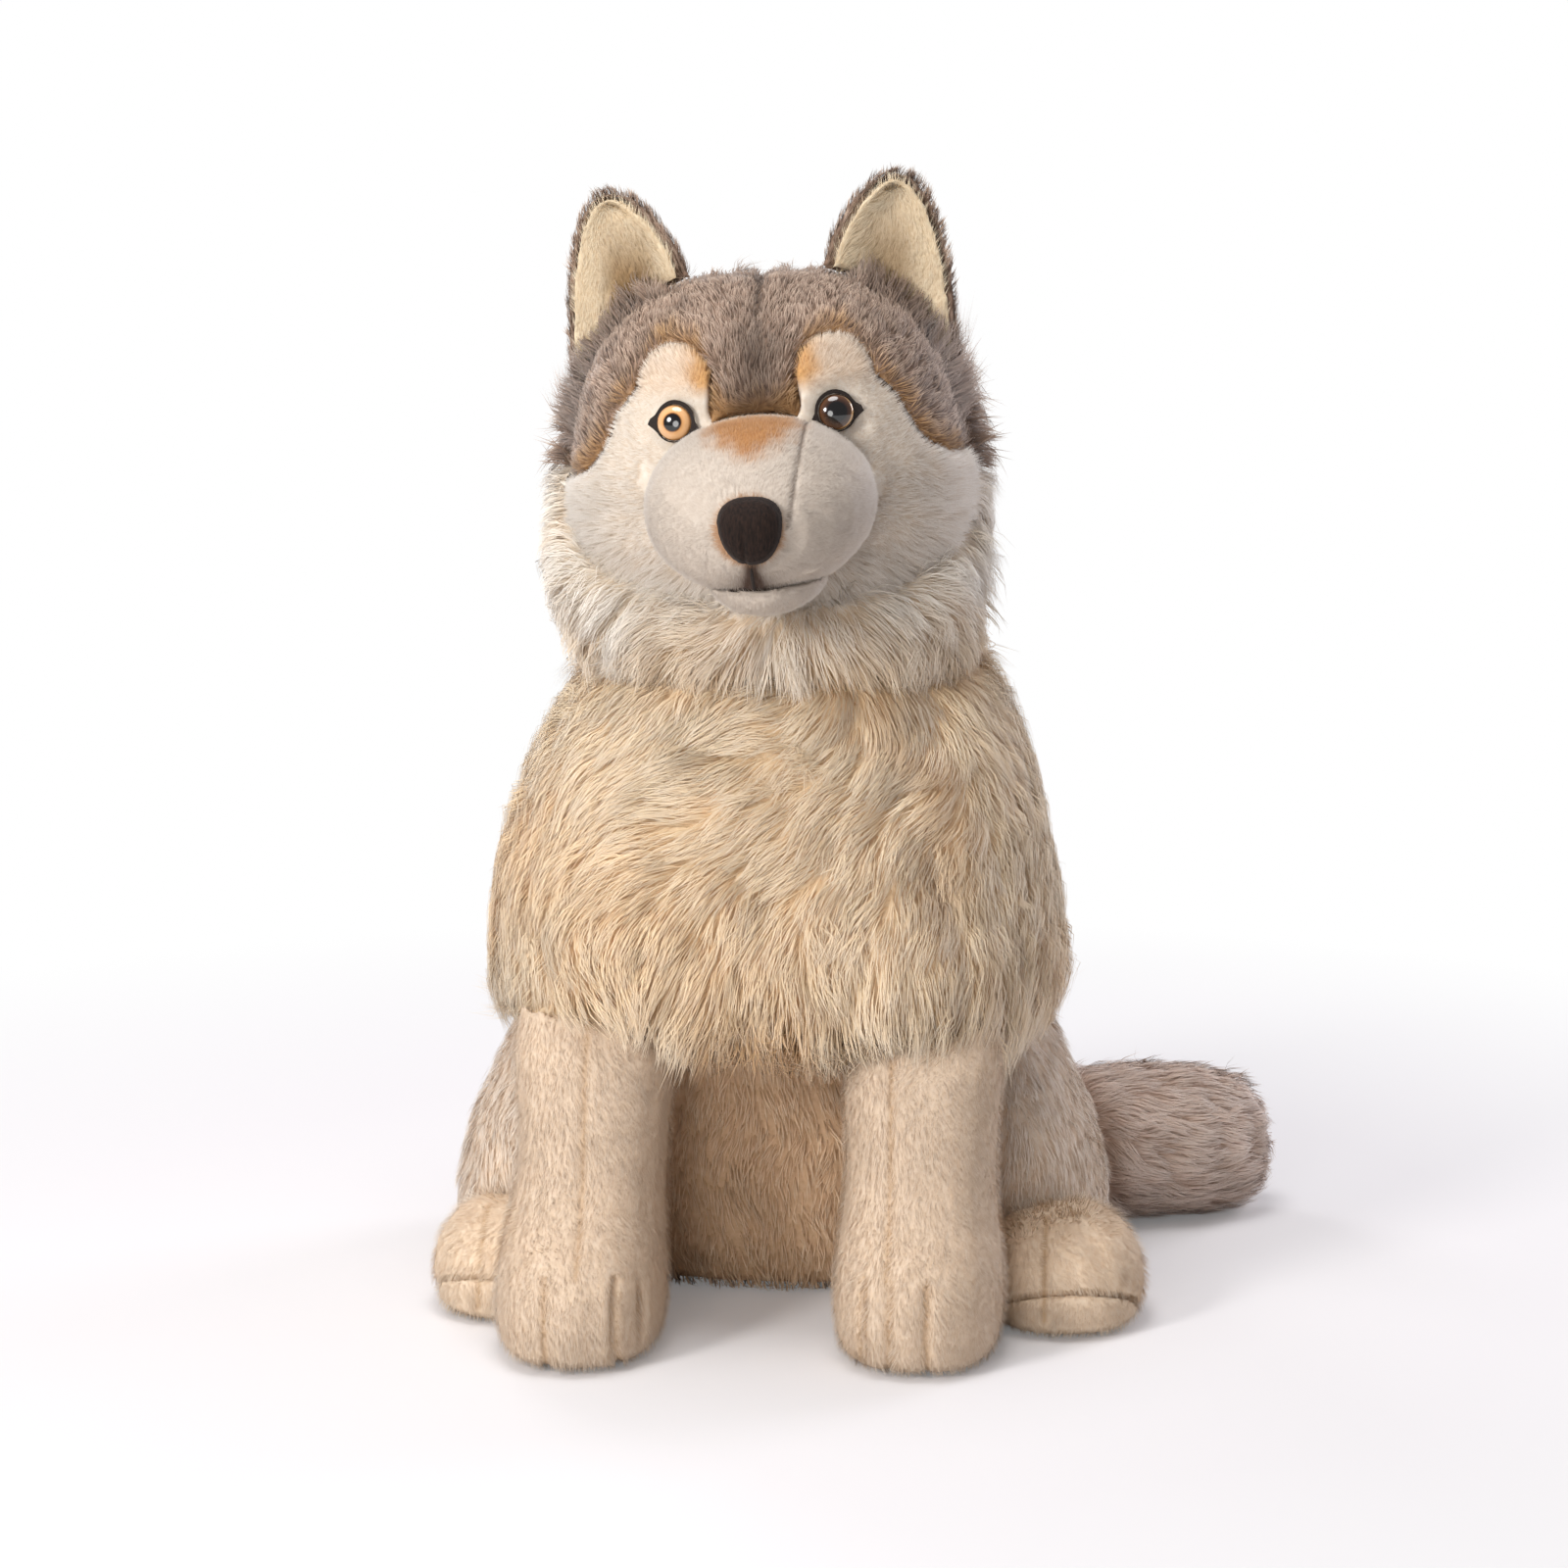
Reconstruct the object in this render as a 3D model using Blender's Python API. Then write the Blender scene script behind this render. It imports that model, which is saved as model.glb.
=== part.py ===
# Sitting plush wolf with a long-pile mane, glossy eyes and a tail laid out to its left.
# Metres, +Z up, the face looks towards -Y, and the wolf's own left is +X.
# The origin is the middle of the flat seat on the floor.

import math

import bmesh
import bpy
import numpy as np
from mathutils import Matrix, Vector
from mathutils.bvhtree import BVHTree

# Driving sizes, metres and degrees

SEAM_GAP = 0.0003

HEM_HEIGHT = 0.158
MANE_WIDTH = 0.321
MANE_DEPTH = 0.302
MANE_HEIGHT = 0.242
SEAT_WIDTH = 0.264
SEAT_DEPTH = 0.228
SADDLE_WIDTH = 0.148
SHOULDER_BULGE = -0.026
HEM_RISE_LEFT = 0.008
HEM_RISE_RIGHT = 0.017

HEAD_PIVOT = (-0.002, -0.065, 0.450)
HEAD_TURN = 1.8
HEAD_TILT = 4.0
HEAD_WIDTH = 0.214
HEAD_HEIGHT = 0.203
HEAD_DEPTH = 0.194
RUFF_WIDTH = 0.245
NAPE_EDGE_HEIGHT = 0.449

MUZZLE_WIDTH = 0.118
MUZZLE_HEIGHT = 0.093
MUZZLE_LENGTH = 0.118
CHIN_WIDTH = 0.064
NOSE_WIDTH = 0.034
NOSE_HEIGHT = 0.034
NOSE_TAPER = 0.34
MOUTH_THREAD = 0.0016
MOUTH_LENGTH = 0.012

EYE_DIAMETER = 0.0186
EYE_DOME = 0.0058
EYE_SPACING = 0.082
EYE_HEIGHT = 0.0318
SHANK_DIAMETER = 0.005
SHANK_LENGTH = 0.016
WASHER_DIAMETER = 0.017
WASHER_THICKNESS = 0.002
LINER_THICKNESS = 0.0012

EAR_WIDTH = 0.084
EAR_RISE = 0.0915
EAR_THICKNESS = 0.022
EAR_LINING_THICKNESS = 0.004
EAR_TURN = 14.0

LEG_SPACING = 0.171
LEG_WIDTH = 0.084
LEG_HEIGHT = 0.240
PAW_WIDTH = 0.093
PAW_LENGTH = 0.124
TOE_GROOVE = 0.0035

THIGH_WIDTH = 0.119
THIGH_LENGTH = 0.200
THIGH_HEIGHT = 0.176
FOOT_WIDTH = 0.095
FOOT_LENGTH = 0.110
FOOT_HEIGHT = 0.062
FOOT_TURN = 10.0
SOLE_HEIGHT = 0.034

TAIL_LENGTH = 0.247
TAIL_THICKNESS = 0.094

# Colours as linear light, with roughness, for each kind of cloth

CREAM_PILE = ((0.74, 0.64, 0.51), 0.95)
SAND_PILE = ((0.70, 0.55, 0.39), 0.95)
PALE_PILE = ((0.72, 0.66, 0.59), 0.95)
BROWN_PILE = ((0.22, 0.16, 0.12), 0.95)
TAIL_PILE = ((0.47, 0.35, 0.28), 0.95)
EAR_PILE = ((0.58, 0.46, 0.32), 0.95)
NOSE_VELOUR = ((0.026, 0.013, 0.010), 0.85)
DARK_FELT = ((0.012, 0.008, 0.006), 0.9)
AMBER_PLASTIC = ((0.62, 0.33, 0.12), 0.08)
WHITE_PLASTIC = ((0.80, 0.80, 0.78), 0.4)

MM = 0.001
SIDES = (("left", 1), ("right", -1))


# Helper functions


def clear_scene():
    for old in list(bpy.data.objects):
        bpy.data.objects.remove(old, do_unlink=True)


def material_of(name, look):
    """The Principled material of one piece."""
    colour, roughness = look
    material = bpy.data.materials.new(name + "_cloth")
    material.use_nodes = True
    shader = material.node_tree.nodes["Principled BSDF"]
    shader.inputs["Base Color"].default_value = (*colour, 1.0)
    shader.inputs["Roughness"].default_value = roughness
    shader.inputs["Metallic"].default_value = 0.0
    return material


def solid_from(name, points, faces, place=None):
    """A closed mesh object with its faces turned outwards."""
    mesh = bpy.data.meshes.new(name)
    mesh.from_pydata([tuple(p) for p in points], [], [tuple(f) for f in faces])
    if place is not None:
        mesh.transform(place)
    body = bmesh.new()
    body.from_mesh(mesh)
    bmesh.ops.triangulate(body, faces=body.faces)
    bmesh.ops.recalc_face_normals(body, faces=body.faces)
    if body.calc_volume(signed=True) < 0:
        bmesh.ops.reverse_faces(body, faces=body.faces)
    body.to_mesh(mesh)
    body.free()
    obj = bpy.data.objects.new(name, mesh)
    bpy.context.scene.collection.objects.link(obj)
    return obj


def spline(sections, steps):
    """Sections in between the given ones; a section of no width is a pole and closes round."""
    rows = [np.array(row, float) for row in sections]

    def beyond(end, inner):
        # The row past the end: mirrored at a pole, straight on at a flat cap.
        if end[2] > 0:
            return 2 * end - inner
        mirrored = inner.copy()
        mirrored[1] = 2 * end[1] - inner[1]
        mirrored[2] = -inner[2]
        mirrored[3], mirrored[4] = inner[4], inner[3]
        return mirrored

    rows = [beyond(rows[0], rows[1])] + rows + [beyond(rows[-1], rows[-2])]
    made = []
    for i in range(1, len(rows) - 2):
        a, b, c, d = rows[i - 1 : i + 3]
        for k in range(steps):
            t = k / steps
            made.append(
                0.5
                * (
                    2 * b
                    + (c - a) * t
                    + (2 * a - 5 * b + 4 * c - d) * t**2
                    + (3 * b - a - 3 * c + d) * t**3
                )
            )
    made.append(rows[-2])
    return made


def loft(name, sections, segments=28, steps=2, power=2.0, along="z", place=None, angles=None):
    """A solid through rounded sections (station, centre, half width, low edge, high edge).

    Along z the width lies in x and the edges in y; along y they are x and z; along x, y and z.
    """
    order = {"z": (0, 1, 2), "y": (0, 2, 1), "x": (1, 2, 0)}[along]
    if angles is None:
        angles = [2 * math.pi * i / segments for i in range(segments)]
    count = len(angles)
    points = []
    rings = []
    for station, centre, half, low, high in spline(sections, steps):
        middle, depth = (low + high) / 2, (high - low) / 2
        if half < 1e-6:
            rings.append([len(points)])
            points.append((centre, middle, station))
            continue
        rings.append(list(range(len(points), len(points) + count)))
        for angle in angles:
            c, s = math.cos(angle), math.sin(angle)
            across = math.copysign(abs(c) ** (2 / power), c)
            deep = math.copysign(abs(s) ** (2 / power), s)
            points.append((centre + half * across, middle + depth * deep, station))
    faces = []
    for a, b in zip(rings, rings[1:]):
        for i in range(count):
            j = (i + 1) % count
            if len(a) == 1:
                faces.append((a[0], b[i], b[j]))
            elif len(b) == 1:
                faces.append((a[i], a[j], b[0]))
            else:
                faces.append((a[i], a[j], b[j], b[i]))
    for ring in (rings[0], rings[-1]):
        if len(ring) > 1:
            faces.append(tuple(ring))
    points = [tuple(p[order.index(axis)] for axis in range(3)) for p in points]
    return solid_from(name, points, faces, place)


def prism(name, outline, along, start, end, place=None):
    """A closed outline pushed straight between two stations along an axis."""
    order = {"z": (0, 1, 2), "y": (0, 2, 1), "x": (1, 2, 0)}[along]
    count = len(outline)
    points = [(u, v, w) for w in (start, end) for u, v in outline]
    points = [tuple(p[order.index(axis)] for axis in range(3)) for p in points]
    faces = [tuple(range(count)), tuple(range(count, 2 * count))]
    for i in range(count):
        j = (i + 1) % count
        faces.append((i, j, count + j, count + i))
    return solid_from(name, points, faces, place)


def turned(name, profile, segments, place):
    """A solid of revolution about its own z axis, from (radius, height) pairs that end on the axis."""
    points = []
    rings = []
    for radius, height in profile:
        if radius < 1e-9:
            rings.append([len(points)])
            points.append((0.0, 0.0, height))
            continue
        rings.append(list(range(len(points), len(points) + segments)))
        for i in range(segments):
            angle = 2 * math.pi * i / segments
            points.append((radius * math.cos(angle), radius * math.sin(angle), height))
    faces = []
    for a, b in zip(rings, rings[1:]):
        for i in range(segments):
            j = (i + 1) % segments
            if len(a) == 1:
                faces.append((a[0], b[i], b[j]))
            elif len(b) == 1:
                faces.append((a[i], a[j], b[0]))
            else:
                faces.append((a[i], a[j], b[j], b[i]))
    return solid_from(name, points, faces, place)


def washer_ring(name, inner, outer, thickness, segments, place):
    """A flat ring lying on its own xy plane."""
    points = []
    for radius, height in ((inner, 0), (outer, 0), (outer, thickness), (inner, thickness)):
        for i in range(segments):
            angle = 2 * math.pi * i / segments
            points.append((radius * math.cos(angle), radius * math.sin(angle), height))
    faces = []
    for ring in range(4):
        for i in range(segments):
            j = (i + 1) % segments
            a, b = ring * segments, ((ring + 1) % 4) * segments
            faces.append((a + i, a + j, b + j, b + i))
    return solid_from(name, points, faces, place)


def widened(outline, by):
    """A closed outline, drawn anticlockwise, moved outwards by a distance."""
    moved = []
    count = len(outline)
    for i in range(count):
        before, here, after = (Vector(outline[(i + k) % count]) for k in (-1, 0, 1))
        first = (here - before).normalized()
        second = (after - here).normalized()
        normal_a = Vector((first.y, -first.x))
        normal_b = Vector((second.y, -second.x))
        middle = (normal_a + normal_b).normalized()
        reach = by / max(0.5, middle.dot(normal_a))
        moved.append(tuple(here + middle * reach))
    return moved


def mirrored_outline(half):
    """A full anticlockwise outline from its +x half, listed from the lowest point up."""
    return half + [(-x, z) for x, z in reversed(half) if x > 1e-9]


def copy_of(obj):
    twin = obj.copy()
    twin.data = obj.data.copy()
    bpy.context.scene.collection.objects.link(twin)
    return twin


def grown(obj, by=SEAM_GAP):
    """A copy whose skin lies further out, so that what it cuts keeps the seam gap."""
    twin = copy_of(obj)
    body = bmesh.new()
    body.from_mesh(twin.data)
    body.normal_update()
    moves = [vertex.normal * (by * vertex.calc_shell_factor()) for vertex in body.verts]
    for vertex, move in zip(body.verts, moves):
        vertex.co += move
    body.to_mesh(twin.data)
    body.free()
    return twin


def combine(target, operation, tool, keep_tool=False):
    """Cuts, joins or intersects one mesh with another, and drops the tool."""
    modifier = target.modifiers.new("Shape", "BOOLEAN")
    modifier.operation = operation
    modifier.solver = "EXACT"
    modifier.object = tool
    bpy.context.view_layer.objects.active = target
    with bpy.context.temp_override(object=target, active_object=target):
        bpy.ops.object.modifier_apply(modifier=modifier.name)
    if not keep_tool:
        bpy.data.objects.remove(tool, do_unlink=True)
    return target


def cut(target, *tools):
    for tool in tools:
        combine(target, "DIFFERENCE", tool)
    return target


def overlap_of(target, tool):
    return combine(target, "INTERSECT", tool)


def joined(target, tool):
    return combine(target, "UNION", tool)


def largest_only(obj):
    """Drops the crumbs that a cut leaves beside the piece."""
    body = bmesh.new()
    body.from_mesh(obj.data)
    body.faces.ensure_lookup_table()
    left = set(body.faces)
    groups = []
    while left:
        group = {left.pop()}
        edge = list(group)
        while edge:
            face = edge.pop()
            for line in face.edges:
                for other in line.link_faces:
                    if other in left:
                        left.discard(other)
                        group.add(other)
                        edge.append(other)
        groups.append(group)
    if len(groups) > 1:
        def size(group):
            spots = [v.co for face in group for v in face.verts]
            lows = [min(p[k] for p in spots) for k in range(3)]
            highs = [max(p[k] for p in spots) for k in range(3)]
            return sum((h - l) ** 2 for h, l in zip(highs, lows))

        groups.sort(key=size, reverse=True)
        crumbs = [face for group in groups[1:] for face in group]
        bmesh.ops.delete(body, geom=crumbs, context="FACES")
        loose = [v for v in body.verts if not v.link_faces]
        bmesh.ops.delete(body, geom=loose, context="VERTS")
    body.to_mesh(obj.data)
    body.free()
    return obj


def rested(obj):
    """Presses flat on the floor whatever hangs below it."""
    for vertex in obj.data.vertices:
        vertex.co.z = max(0.0, vertex.co.z)
    return obj


def pressed(obj, centre, reach, push):
    """Moves the skin near a point, fading out over the reach on each axis."""
    for vertex in obj.data.vertices:
        far = sum(((vertex.co[k] - centre[k]) / reach[k]) ** 2 for k in range(3))
        fade = math.exp(-far)
        vertex.co += Vector(push) * fade
    return obj


def front_of(obj, place, x, z):
    """The point and the outward direction where a line from the front meets a piece, in head space."""
    tree = BVHTree.FromPolygons(
        [place.inverted() @ v.co for v in obj.data.vertices],
        [tuple(p.vertices) for p in obj.data.polygons],
    )
    point, normal, _, _ = tree.ray_cast(Vector((x, -1.0, z)), Vector((0.0, 1.0, 0.0)))
    return point, normal


def finish(obj, name, look, smooth=True):
    """Names the piece, gives it its material and shades it."""
    largest_only(obj)
    obj.name = name
    obj.data.name = name
    obj.data.materials.clear()
    obj.data.materials.append(material_of(name, look))
    for face in obj.data.polygons:
        face.use_smooth = smooth
    return obj


def drop(*objects):
    for obj in objects:
        bpy.data.objects.remove(obj, do_unlink=True)


# Torso shapes: the mane over the seat, and the zone of the brown back


def mane_shape():
    """Neck, shoulders and chest down to the hem of the mane."""
    rows = (
        (0.000, 0, 0.945, -0.580, 0.373),
        (0.020, 0, 0.978, -0.603, 0.383),
        (0.083, 0, 1.000, -0.616, 0.387),
        (0.175, 0, 1.000, -0.616, 0.371),
        (0.277, 0, 0.983, -0.606, 0.344),
        (0.380, 0, 0.949, -0.590, 0.314),
        (0.484, 2, 0.905, -0.566, 0.284),
        (0.587, 3, 0.855, -0.537, 0.250),
        (0.669, 4, 0.795, -0.507, 0.220),
        (0.752, 4, 0.722, -0.480, 0.190),
        (0.835, 2, 0.650, -0.450, 0.160),
        (0.917, 0, 0.560, -0.410, 0.120),
        (1.000, 0, 0.000, -0.150, -0.150),
    )
    sections = [
        (HEM_HEIGHT + h * MANE_HEIGHT, c * MM, w * MANE_WIDTH / 2, f * MANE_DEPTH, b * MANE_DEPTH)
        for h, c, w, f, b in rows
    ]
    shape = loft("mane_shape", sections, segments=32, steps=1, power=2.4)
    pressed(shape, (0.0, -0.19, 0.255), (0.075, 0.05, 0.055), (0.0, -0.004, 0.0))
    for side in (1, -1):
        over_leg = (side * LEG_SPACING / 2, -0.165, HEM_HEIGHT + 0.030)
        pressed(shape, over_leg, (0.060, 0.060, 0.065), (0.0, SHOULDER_BULGE, 0.0))
        hem = (side * LEG_SPACING / 2, -0.190, HEM_HEIGHT)
        rise = HEM_RISE_LEFT if side > 0 else HEM_RISE_RIGHT
        pressed(shape, hem, (0.042, 0.060, 0.022), (0.0, 0.0, rise))
    return shape


def seat_shape():
    """Belly and rump, flat on the floor."""
    rows = (
        (0.000, 0.800, -0.345, 0.395),
        (0.006, 0.860, -0.385, 0.435),
        (0.025, 0.925, -0.425, 0.470),
        (0.055, 0.975, -0.452, 0.485),
        (0.090, 0.990, -0.475, 0.498),
        (0.120, 1.000, -0.495, 0.503),
        (0.150, 1.000, -0.508, 0.500),
        (0.180, 0.965, -0.500, 0.425),
        (0.210, 0.830, -0.430, 0.360),
        (0.235, 0.000, 0.000, 0.000),
    )
    sections = [
        (z, 0.0, w * SEAT_WIDTH / 2, f * SEAT_DEPTH, b * SEAT_DEPTH) for z, w, f, b in rows
    ]
    return loft("seat_shape", sections, segments=28, steps=1, power=2.3)


def saddle_zone(by):
    """The upright slab that parts the brown back from the sides."""
    rows = (
        (0.028, 0.54, 0.070),
        (0.075, 0.70, 0.076),
        (0.130, 0.88, 0.077),
        (0.200, 1.00, 0.074),
        (0.270, 0.98, 0.052),
        (0.340, 0.88, 0.028),
        (0.420, 0.84, 0.004),
    )
    sections = [
        (z, 0.0, w * SADDLE_WIDTH / 2 + by, front - by, 0.20) for z, w, front in rows
    ]
    sections[0] = (sections[0][0] - by, *sections[0][1:])
    return loft("saddle_zone", sections, segments=24, steps=1, power=5.0)


# Head shapes, in head space round the head's own middle


def head_place():
    turn = Matrix.Rotation(math.radians(HEAD_TURN), 4, "Z")
    tilt = Matrix.Rotation(math.radians(-HEAD_TILT), 4, "Y")
    return Matrix.Translation(HEAD_PIVOT) @ turn @ tilt


def head_shape(place):
    """The stuffed ball of the head with its eye hollows and cheeks."""
    rows = (
        (-0.483, 0.000, -0.130, -0.130),
        (-0.433, 0.467, -0.320, 0.155),
        (-0.355, 0.710, -0.402, 0.320),
        (-0.256, 0.888, -0.454, 0.423),
        (-0.148, 0.972, -0.485, 0.474),
        (-0.025, 1.000, -0.495, 0.505),
        (0.089, 0.981, -0.495, 0.505),
        (0.177, 0.944, -0.485, 0.485),
        (0.256, 0.897, -0.464, 0.454),
        (0.335, 0.813, -0.418, 0.402),
        (0.404, 0.701, -0.351, 0.330),
        (0.463, 0.542, -0.258, 0.247),
        (0.502, 0.336, -0.160, 0.144),
        (0.517, 0.000, -0.010, -0.010),
    )
    sections = [
        (z * HEAD_HEIGHT, 0.0, w * HEAD_WIDTH / 2, f * HEAD_DEPTH, b * HEAD_DEPTH)
        for z, w, f, b in rows
    ]
    shape = loft("head_shape", sections, segments=32, steps=1, power=2.1)
    front = -0.48 * HEAD_DEPTH
    for side in (1, -1):
        eye_x = side * EYE_SPACING / 2
        pressed(shape, (eye_x, front, EYE_HEIGHT), (0.020, 0.03, 0.014), (0.0, 0.0035, 0.0))
        pressed(shape, (side * 0.045, front, 0.060), (0.020, 0.03, 0.013), (0.0, -0.003, 0.0))
        pressed(shape, (side * 0.080, front, -0.020), (0.028, 0.05, 0.030), (side * 0.002, -0.005, 0.0))
    pressed(shape, (0.0, front * 0.5, 0.100), (0.007, 0.05, 0.025), (0.0, 0.0, -0.002))
    shape.data.transform(place)
    return shape


def muzzle_shape(place):
    """The ball-shaped snout, its widest part just below the eyes."""
    base = -0.060
    rows = (
        (0.000, 0.93, -0.54, 0.33),
        (0.180, 0.98, -0.57, 0.36),
        (0.340, 1.00, -0.58, 0.37),
        (0.500, 0.99, -0.580, 0.360),
        (0.640, 0.94, -0.570, 0.320),
        (0.770, 0.84, -0.545, 0.240),
        (0.870, 0.68, -0.510, 0.130),
        (0.950, 0.46, -0.430, 0.010),
        (0.986, 0.24, -0.330, -0.090),
        (1.000, 0.00, -0.210, -0.210),
    )
    sections = [
        (base - t * MUZZLE_LENGTH, 0.001, w * MUZZLE_WIDTH / 2, low * MUZZLE_HEIGHT, high * MUZZLE_HEIGHT)
        for t, w, low, high in rows
    ]
    return loft("muzzle_shape", sections, segments=30, steps=1, power=2.05, along="y", place=place)


def chin_shape(place):
    """The lower jaw that shows as a lip below the mouth."""
    rows = (
        (-0.070, 0.00, -0.044, -0.044),
        (-0.080, 0.74, -0.057, -0.030),
        (-0.100, 0.97, -0.0625, -0.024),
        (-0.126, 1.00, -0.0640, -0.021),
        (-0.145, 0.90, -0.0630, -0.022),
        (-0.157, 0.64, -0.0600, -0.026),
        (-0.163, 0.32, -0.0555, -0.034),
        (-0.165, 0.00, -0.046, -0.046),
    )
    sections = [(y, 0.003, w * CHIN_WIDTH / 2, low, high) for y, w, low, high in rows]
    return loft("chin_shape", sections, segments=22, steps=1, along="y", place=place)


def nose_shape(place):
    """A rounded pad on the tip of the muzzle, narrower towards the mouth."""
    rows = (
        (-0.158, 0.92, -0.96, -0.04),
        (-0.170, 1.00, -1.00, 0.00),
        (-0.1770, 0.99, -0.995, -0.005),
        (-0.1818, 0.88, -0.93, -0.07),
        (-0.1848, 0.66, -0.80, -0.19),
        (-0.1864, 0.36, -0.64, -0.33),
        (-0.1868, 0.00, -0.48, -0.48),
    )
    sections = [
        (y, 0.0, w * NOSE_WIDTH / 2, low * NOSE_HEIGHT, high * NOSE_HEIGHT) for y, w, low, high in rows
    ]
    shape = loft("nose_shape", sections, segments=24, steps=1, power=2.5, along="y")
    for vertex in shape.data.vertices:
        share = min(1.0, max(0.0, -vertex.co.z / NOSE_HEIGHT))
        vertex.co.x *= 1.03 - NOSE_TAPER * share**2
    shape.data.transform(place)
    return shape


def crown_outline():
    """Lower edge of the brown cap, seen from the front, with the arch over the bridge."""
    lower = [(0.0, 0.034), (0.014, 0.0335), (0.0245, 0.0295), (0.031, 0.031), (0.040, 0.044), (0.060, 0.050)]
    side = [(0.072, 0.038), (0.080, 0.020), (0.090, 0.008), (0.104, 0.000), (0.150, -0.006)]
    return mirrored_outline(lower + side + [(0.150, 0.150), (0.0, 0.150)])


def brow_outline(side):
    """The cream patch that rises over one eye into the brown cap."""
    points = [
        (0.030, 0.026),
        (0.052, 0.036),
        (0.0600, 0.049),
        (0.0585, 0.059),
        (0.0535, 0.0665),
        (0.0450, 0.0715),
        (0.0350, 0.0710),
        (0.0265, 0.0660),
        (0.0215, 0.0560),
        (0.0222, 0.0430),
        (0.0242, 0.0330),
        (0.0255, 0.0260),
    ]
    return points if side > 0 else [(-x, z) for x, z in reversed(points)]


def crown_zone(place, by):
    return prism("crown_zone", widened(crown_outline(), by), "y", -0.2, 0.2, place)


def brow_zone(place, side, by):
    return prism("brow_zone", widened(brow_outline(side), by), "y", -0.15, -0.055 + by, place)


def ruff_shape():
    """The collar of long pile round the back, the sides and the underside of the head."""
    rows = (
        (0.336, 0.000, 0.000, -0.050, -0.050),
        (0.341, 0.002, 0.700, -0.122, 0.040),
        (0.351, 0.002, 0.875, -0.145, 0.050),
        (0.364, -0.001, 0.930, -0.155, 0.053),
        (0.380, -0.004, 0.965, -0.156, 0.054),
        (0.397, -0.005, 0.990, -0.147, 0.054),
        (0.415, -0.005, 1.000, -0.130, 0.053),
        (0.434, -0.005, 0.992, -0.110, 0.052),
        (0.452, -0.005, 0.978, -0.092, 0.051),
        (0.470, -0.005, 0.950, -0.078, 0.049),
        (0.487, -0.004, 0.895, -0.066, 0.045),
        (0.503, -0.003, 0.815, -0.055, 0.039),
        (0.518, -0.004, 0.680, -0.044, 0.030),
        (0.530, -0.005, 0.470, -0.034, 0.018),
        (0.538, -0.006, 0.000, -0.006, -0.006),
    )
    sections = [(z, c, w * RUFF_WIDTH / 2, f, b) for z, c, w, f, b in rows]
    return loft("ruff_shape", sections, segments=28, steps=1, power=2.5)


def nape_zone(by):
    """Everything brown on the ruff: all of it above its edge, and the middle of the back."""
    edge = NAPE_EDGE_HEIGHT - by
    across = 0.42 * SADDLE_WIDTH + by
    outline = [(-0.2, edge), (-across, edge), (-across, 0.25), (across, 0.25), (across, edge)]
    outline += [(0.2, edge), (0.2, 0.65), (-0.2, 0.65)]
    zone = prism("nape_zone", outline, "y", 0.005 - by, 0.2)
    above = [(-0.2, edge), (0.2, edge), (0.2, 0.65), (-0.2, 0.65)]
    return joined(zone, prism("above", above, "y", -0.25, 0.1))


# Ears


def ear_place(place, side):
    spin = Matrix.Rotation(math.radians(side * EAR_TURN), 4, "Z")
    return place @ Matrix.Translation((side * 0.066, 0.008, 0.0)) @ spin


def ear_sections(side, trim, low, high):
    """Half-ellipse outline of one ear that leans outwards at the tip."""
    rows = []
    base = 0.060
    for t in (-0.26, 0.05, 0.38, 0.64, 0.83, 0.95):
        half = (EAR_WIDTH / 2) * math.sqrt(1 - max(0.0, t) ** 2) - trim
        lean = side * 0.0095 * t * abs(t)
        thick = 1.0 - 0.35 * max(0.0, t) ** 2
        rows.append((base + t * (EAR_RISE - trim), lean, half, low * thick, high * thick))
    top = base + EAR_RISE - trim
    middle = 0.65 * (low + high) / 2
    rows.append((top, side * 0.0095, 0.0, middle, middle))
    return rows


def ear_pair(place, side):
    """The brown shell of an ear and the cream lining in its dish."""
    spot = ear_place(place, side)
    front, back = -0.45 * EAR_THICKNESS, 0.55 * EAR_THICKNESS
    shell = loft("ear_shell", ear_sections(side, 0.0, front, back), 18, 1, place=spot)
    low, high = -0.023, 0.34 * EAR_THICKNESS
    lining = loft("ear_lining", ear_sections(side, 0.0, front, back), 18, 1, place=spot)
    dish = loft("dish", ear_sections(side, 0.0035, low, high), 18, 1, place=spot)
    inner = loft("inner", ear_sections(side, 0.0038, low, high - SEAM_GAP), 18, 1, place=spot)
    thin = EAR_LINING_THICKNESS
    hollow = loft("hollow", ear_sections(side, 0.0065, low - thin, high - thin), 18, 1, place=spot)
    cut(shell, dish)
    overlap_of(lining, inner)
    cut(lining, hollow)
    return shell, lining


# Eyes


def eye_place(place, head, side):
    """A frame on the face whose z axis points out of the eye."""
    point, normal = front_of(head, place, side * EYE_SPACING / 2, EYE_HEIGHT)
    out = (normal + Vector((0.0, -1.0, 0.05))).normalized()
    up = Vector((0.0, 0.0, 1.0))
    across = up.cross(out).normalized()
    up = out.cross(across)
    frame = Matrix((across, up, out)).transposed().to_4x4()
    return place @ Matrix.Translation(point) @ frame


def eye_profile(by):
    """Dome, rim, shank and blunt end of a lock-on eye, as radius and height."""
    radius = EYE_DIAMETER / 2 + by
    shank = SHANK_DIAMETER / 2 + by
    sunk = -0.0022
    dome = []
    for step in range(6):
        angle = math.pi / 2 * step / 5
        dome.append((radius * math.sin(angle), (EYE_DOME + by) * math.cos(angle)))
    dome[-1] = (radius, 0.0)
    below = sunk - by
    return dome + [(radius, below), (shank, below), (shank, -SHANK_LENGTH - by), (0.0, -SHANK_LENGTH - by)]


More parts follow.
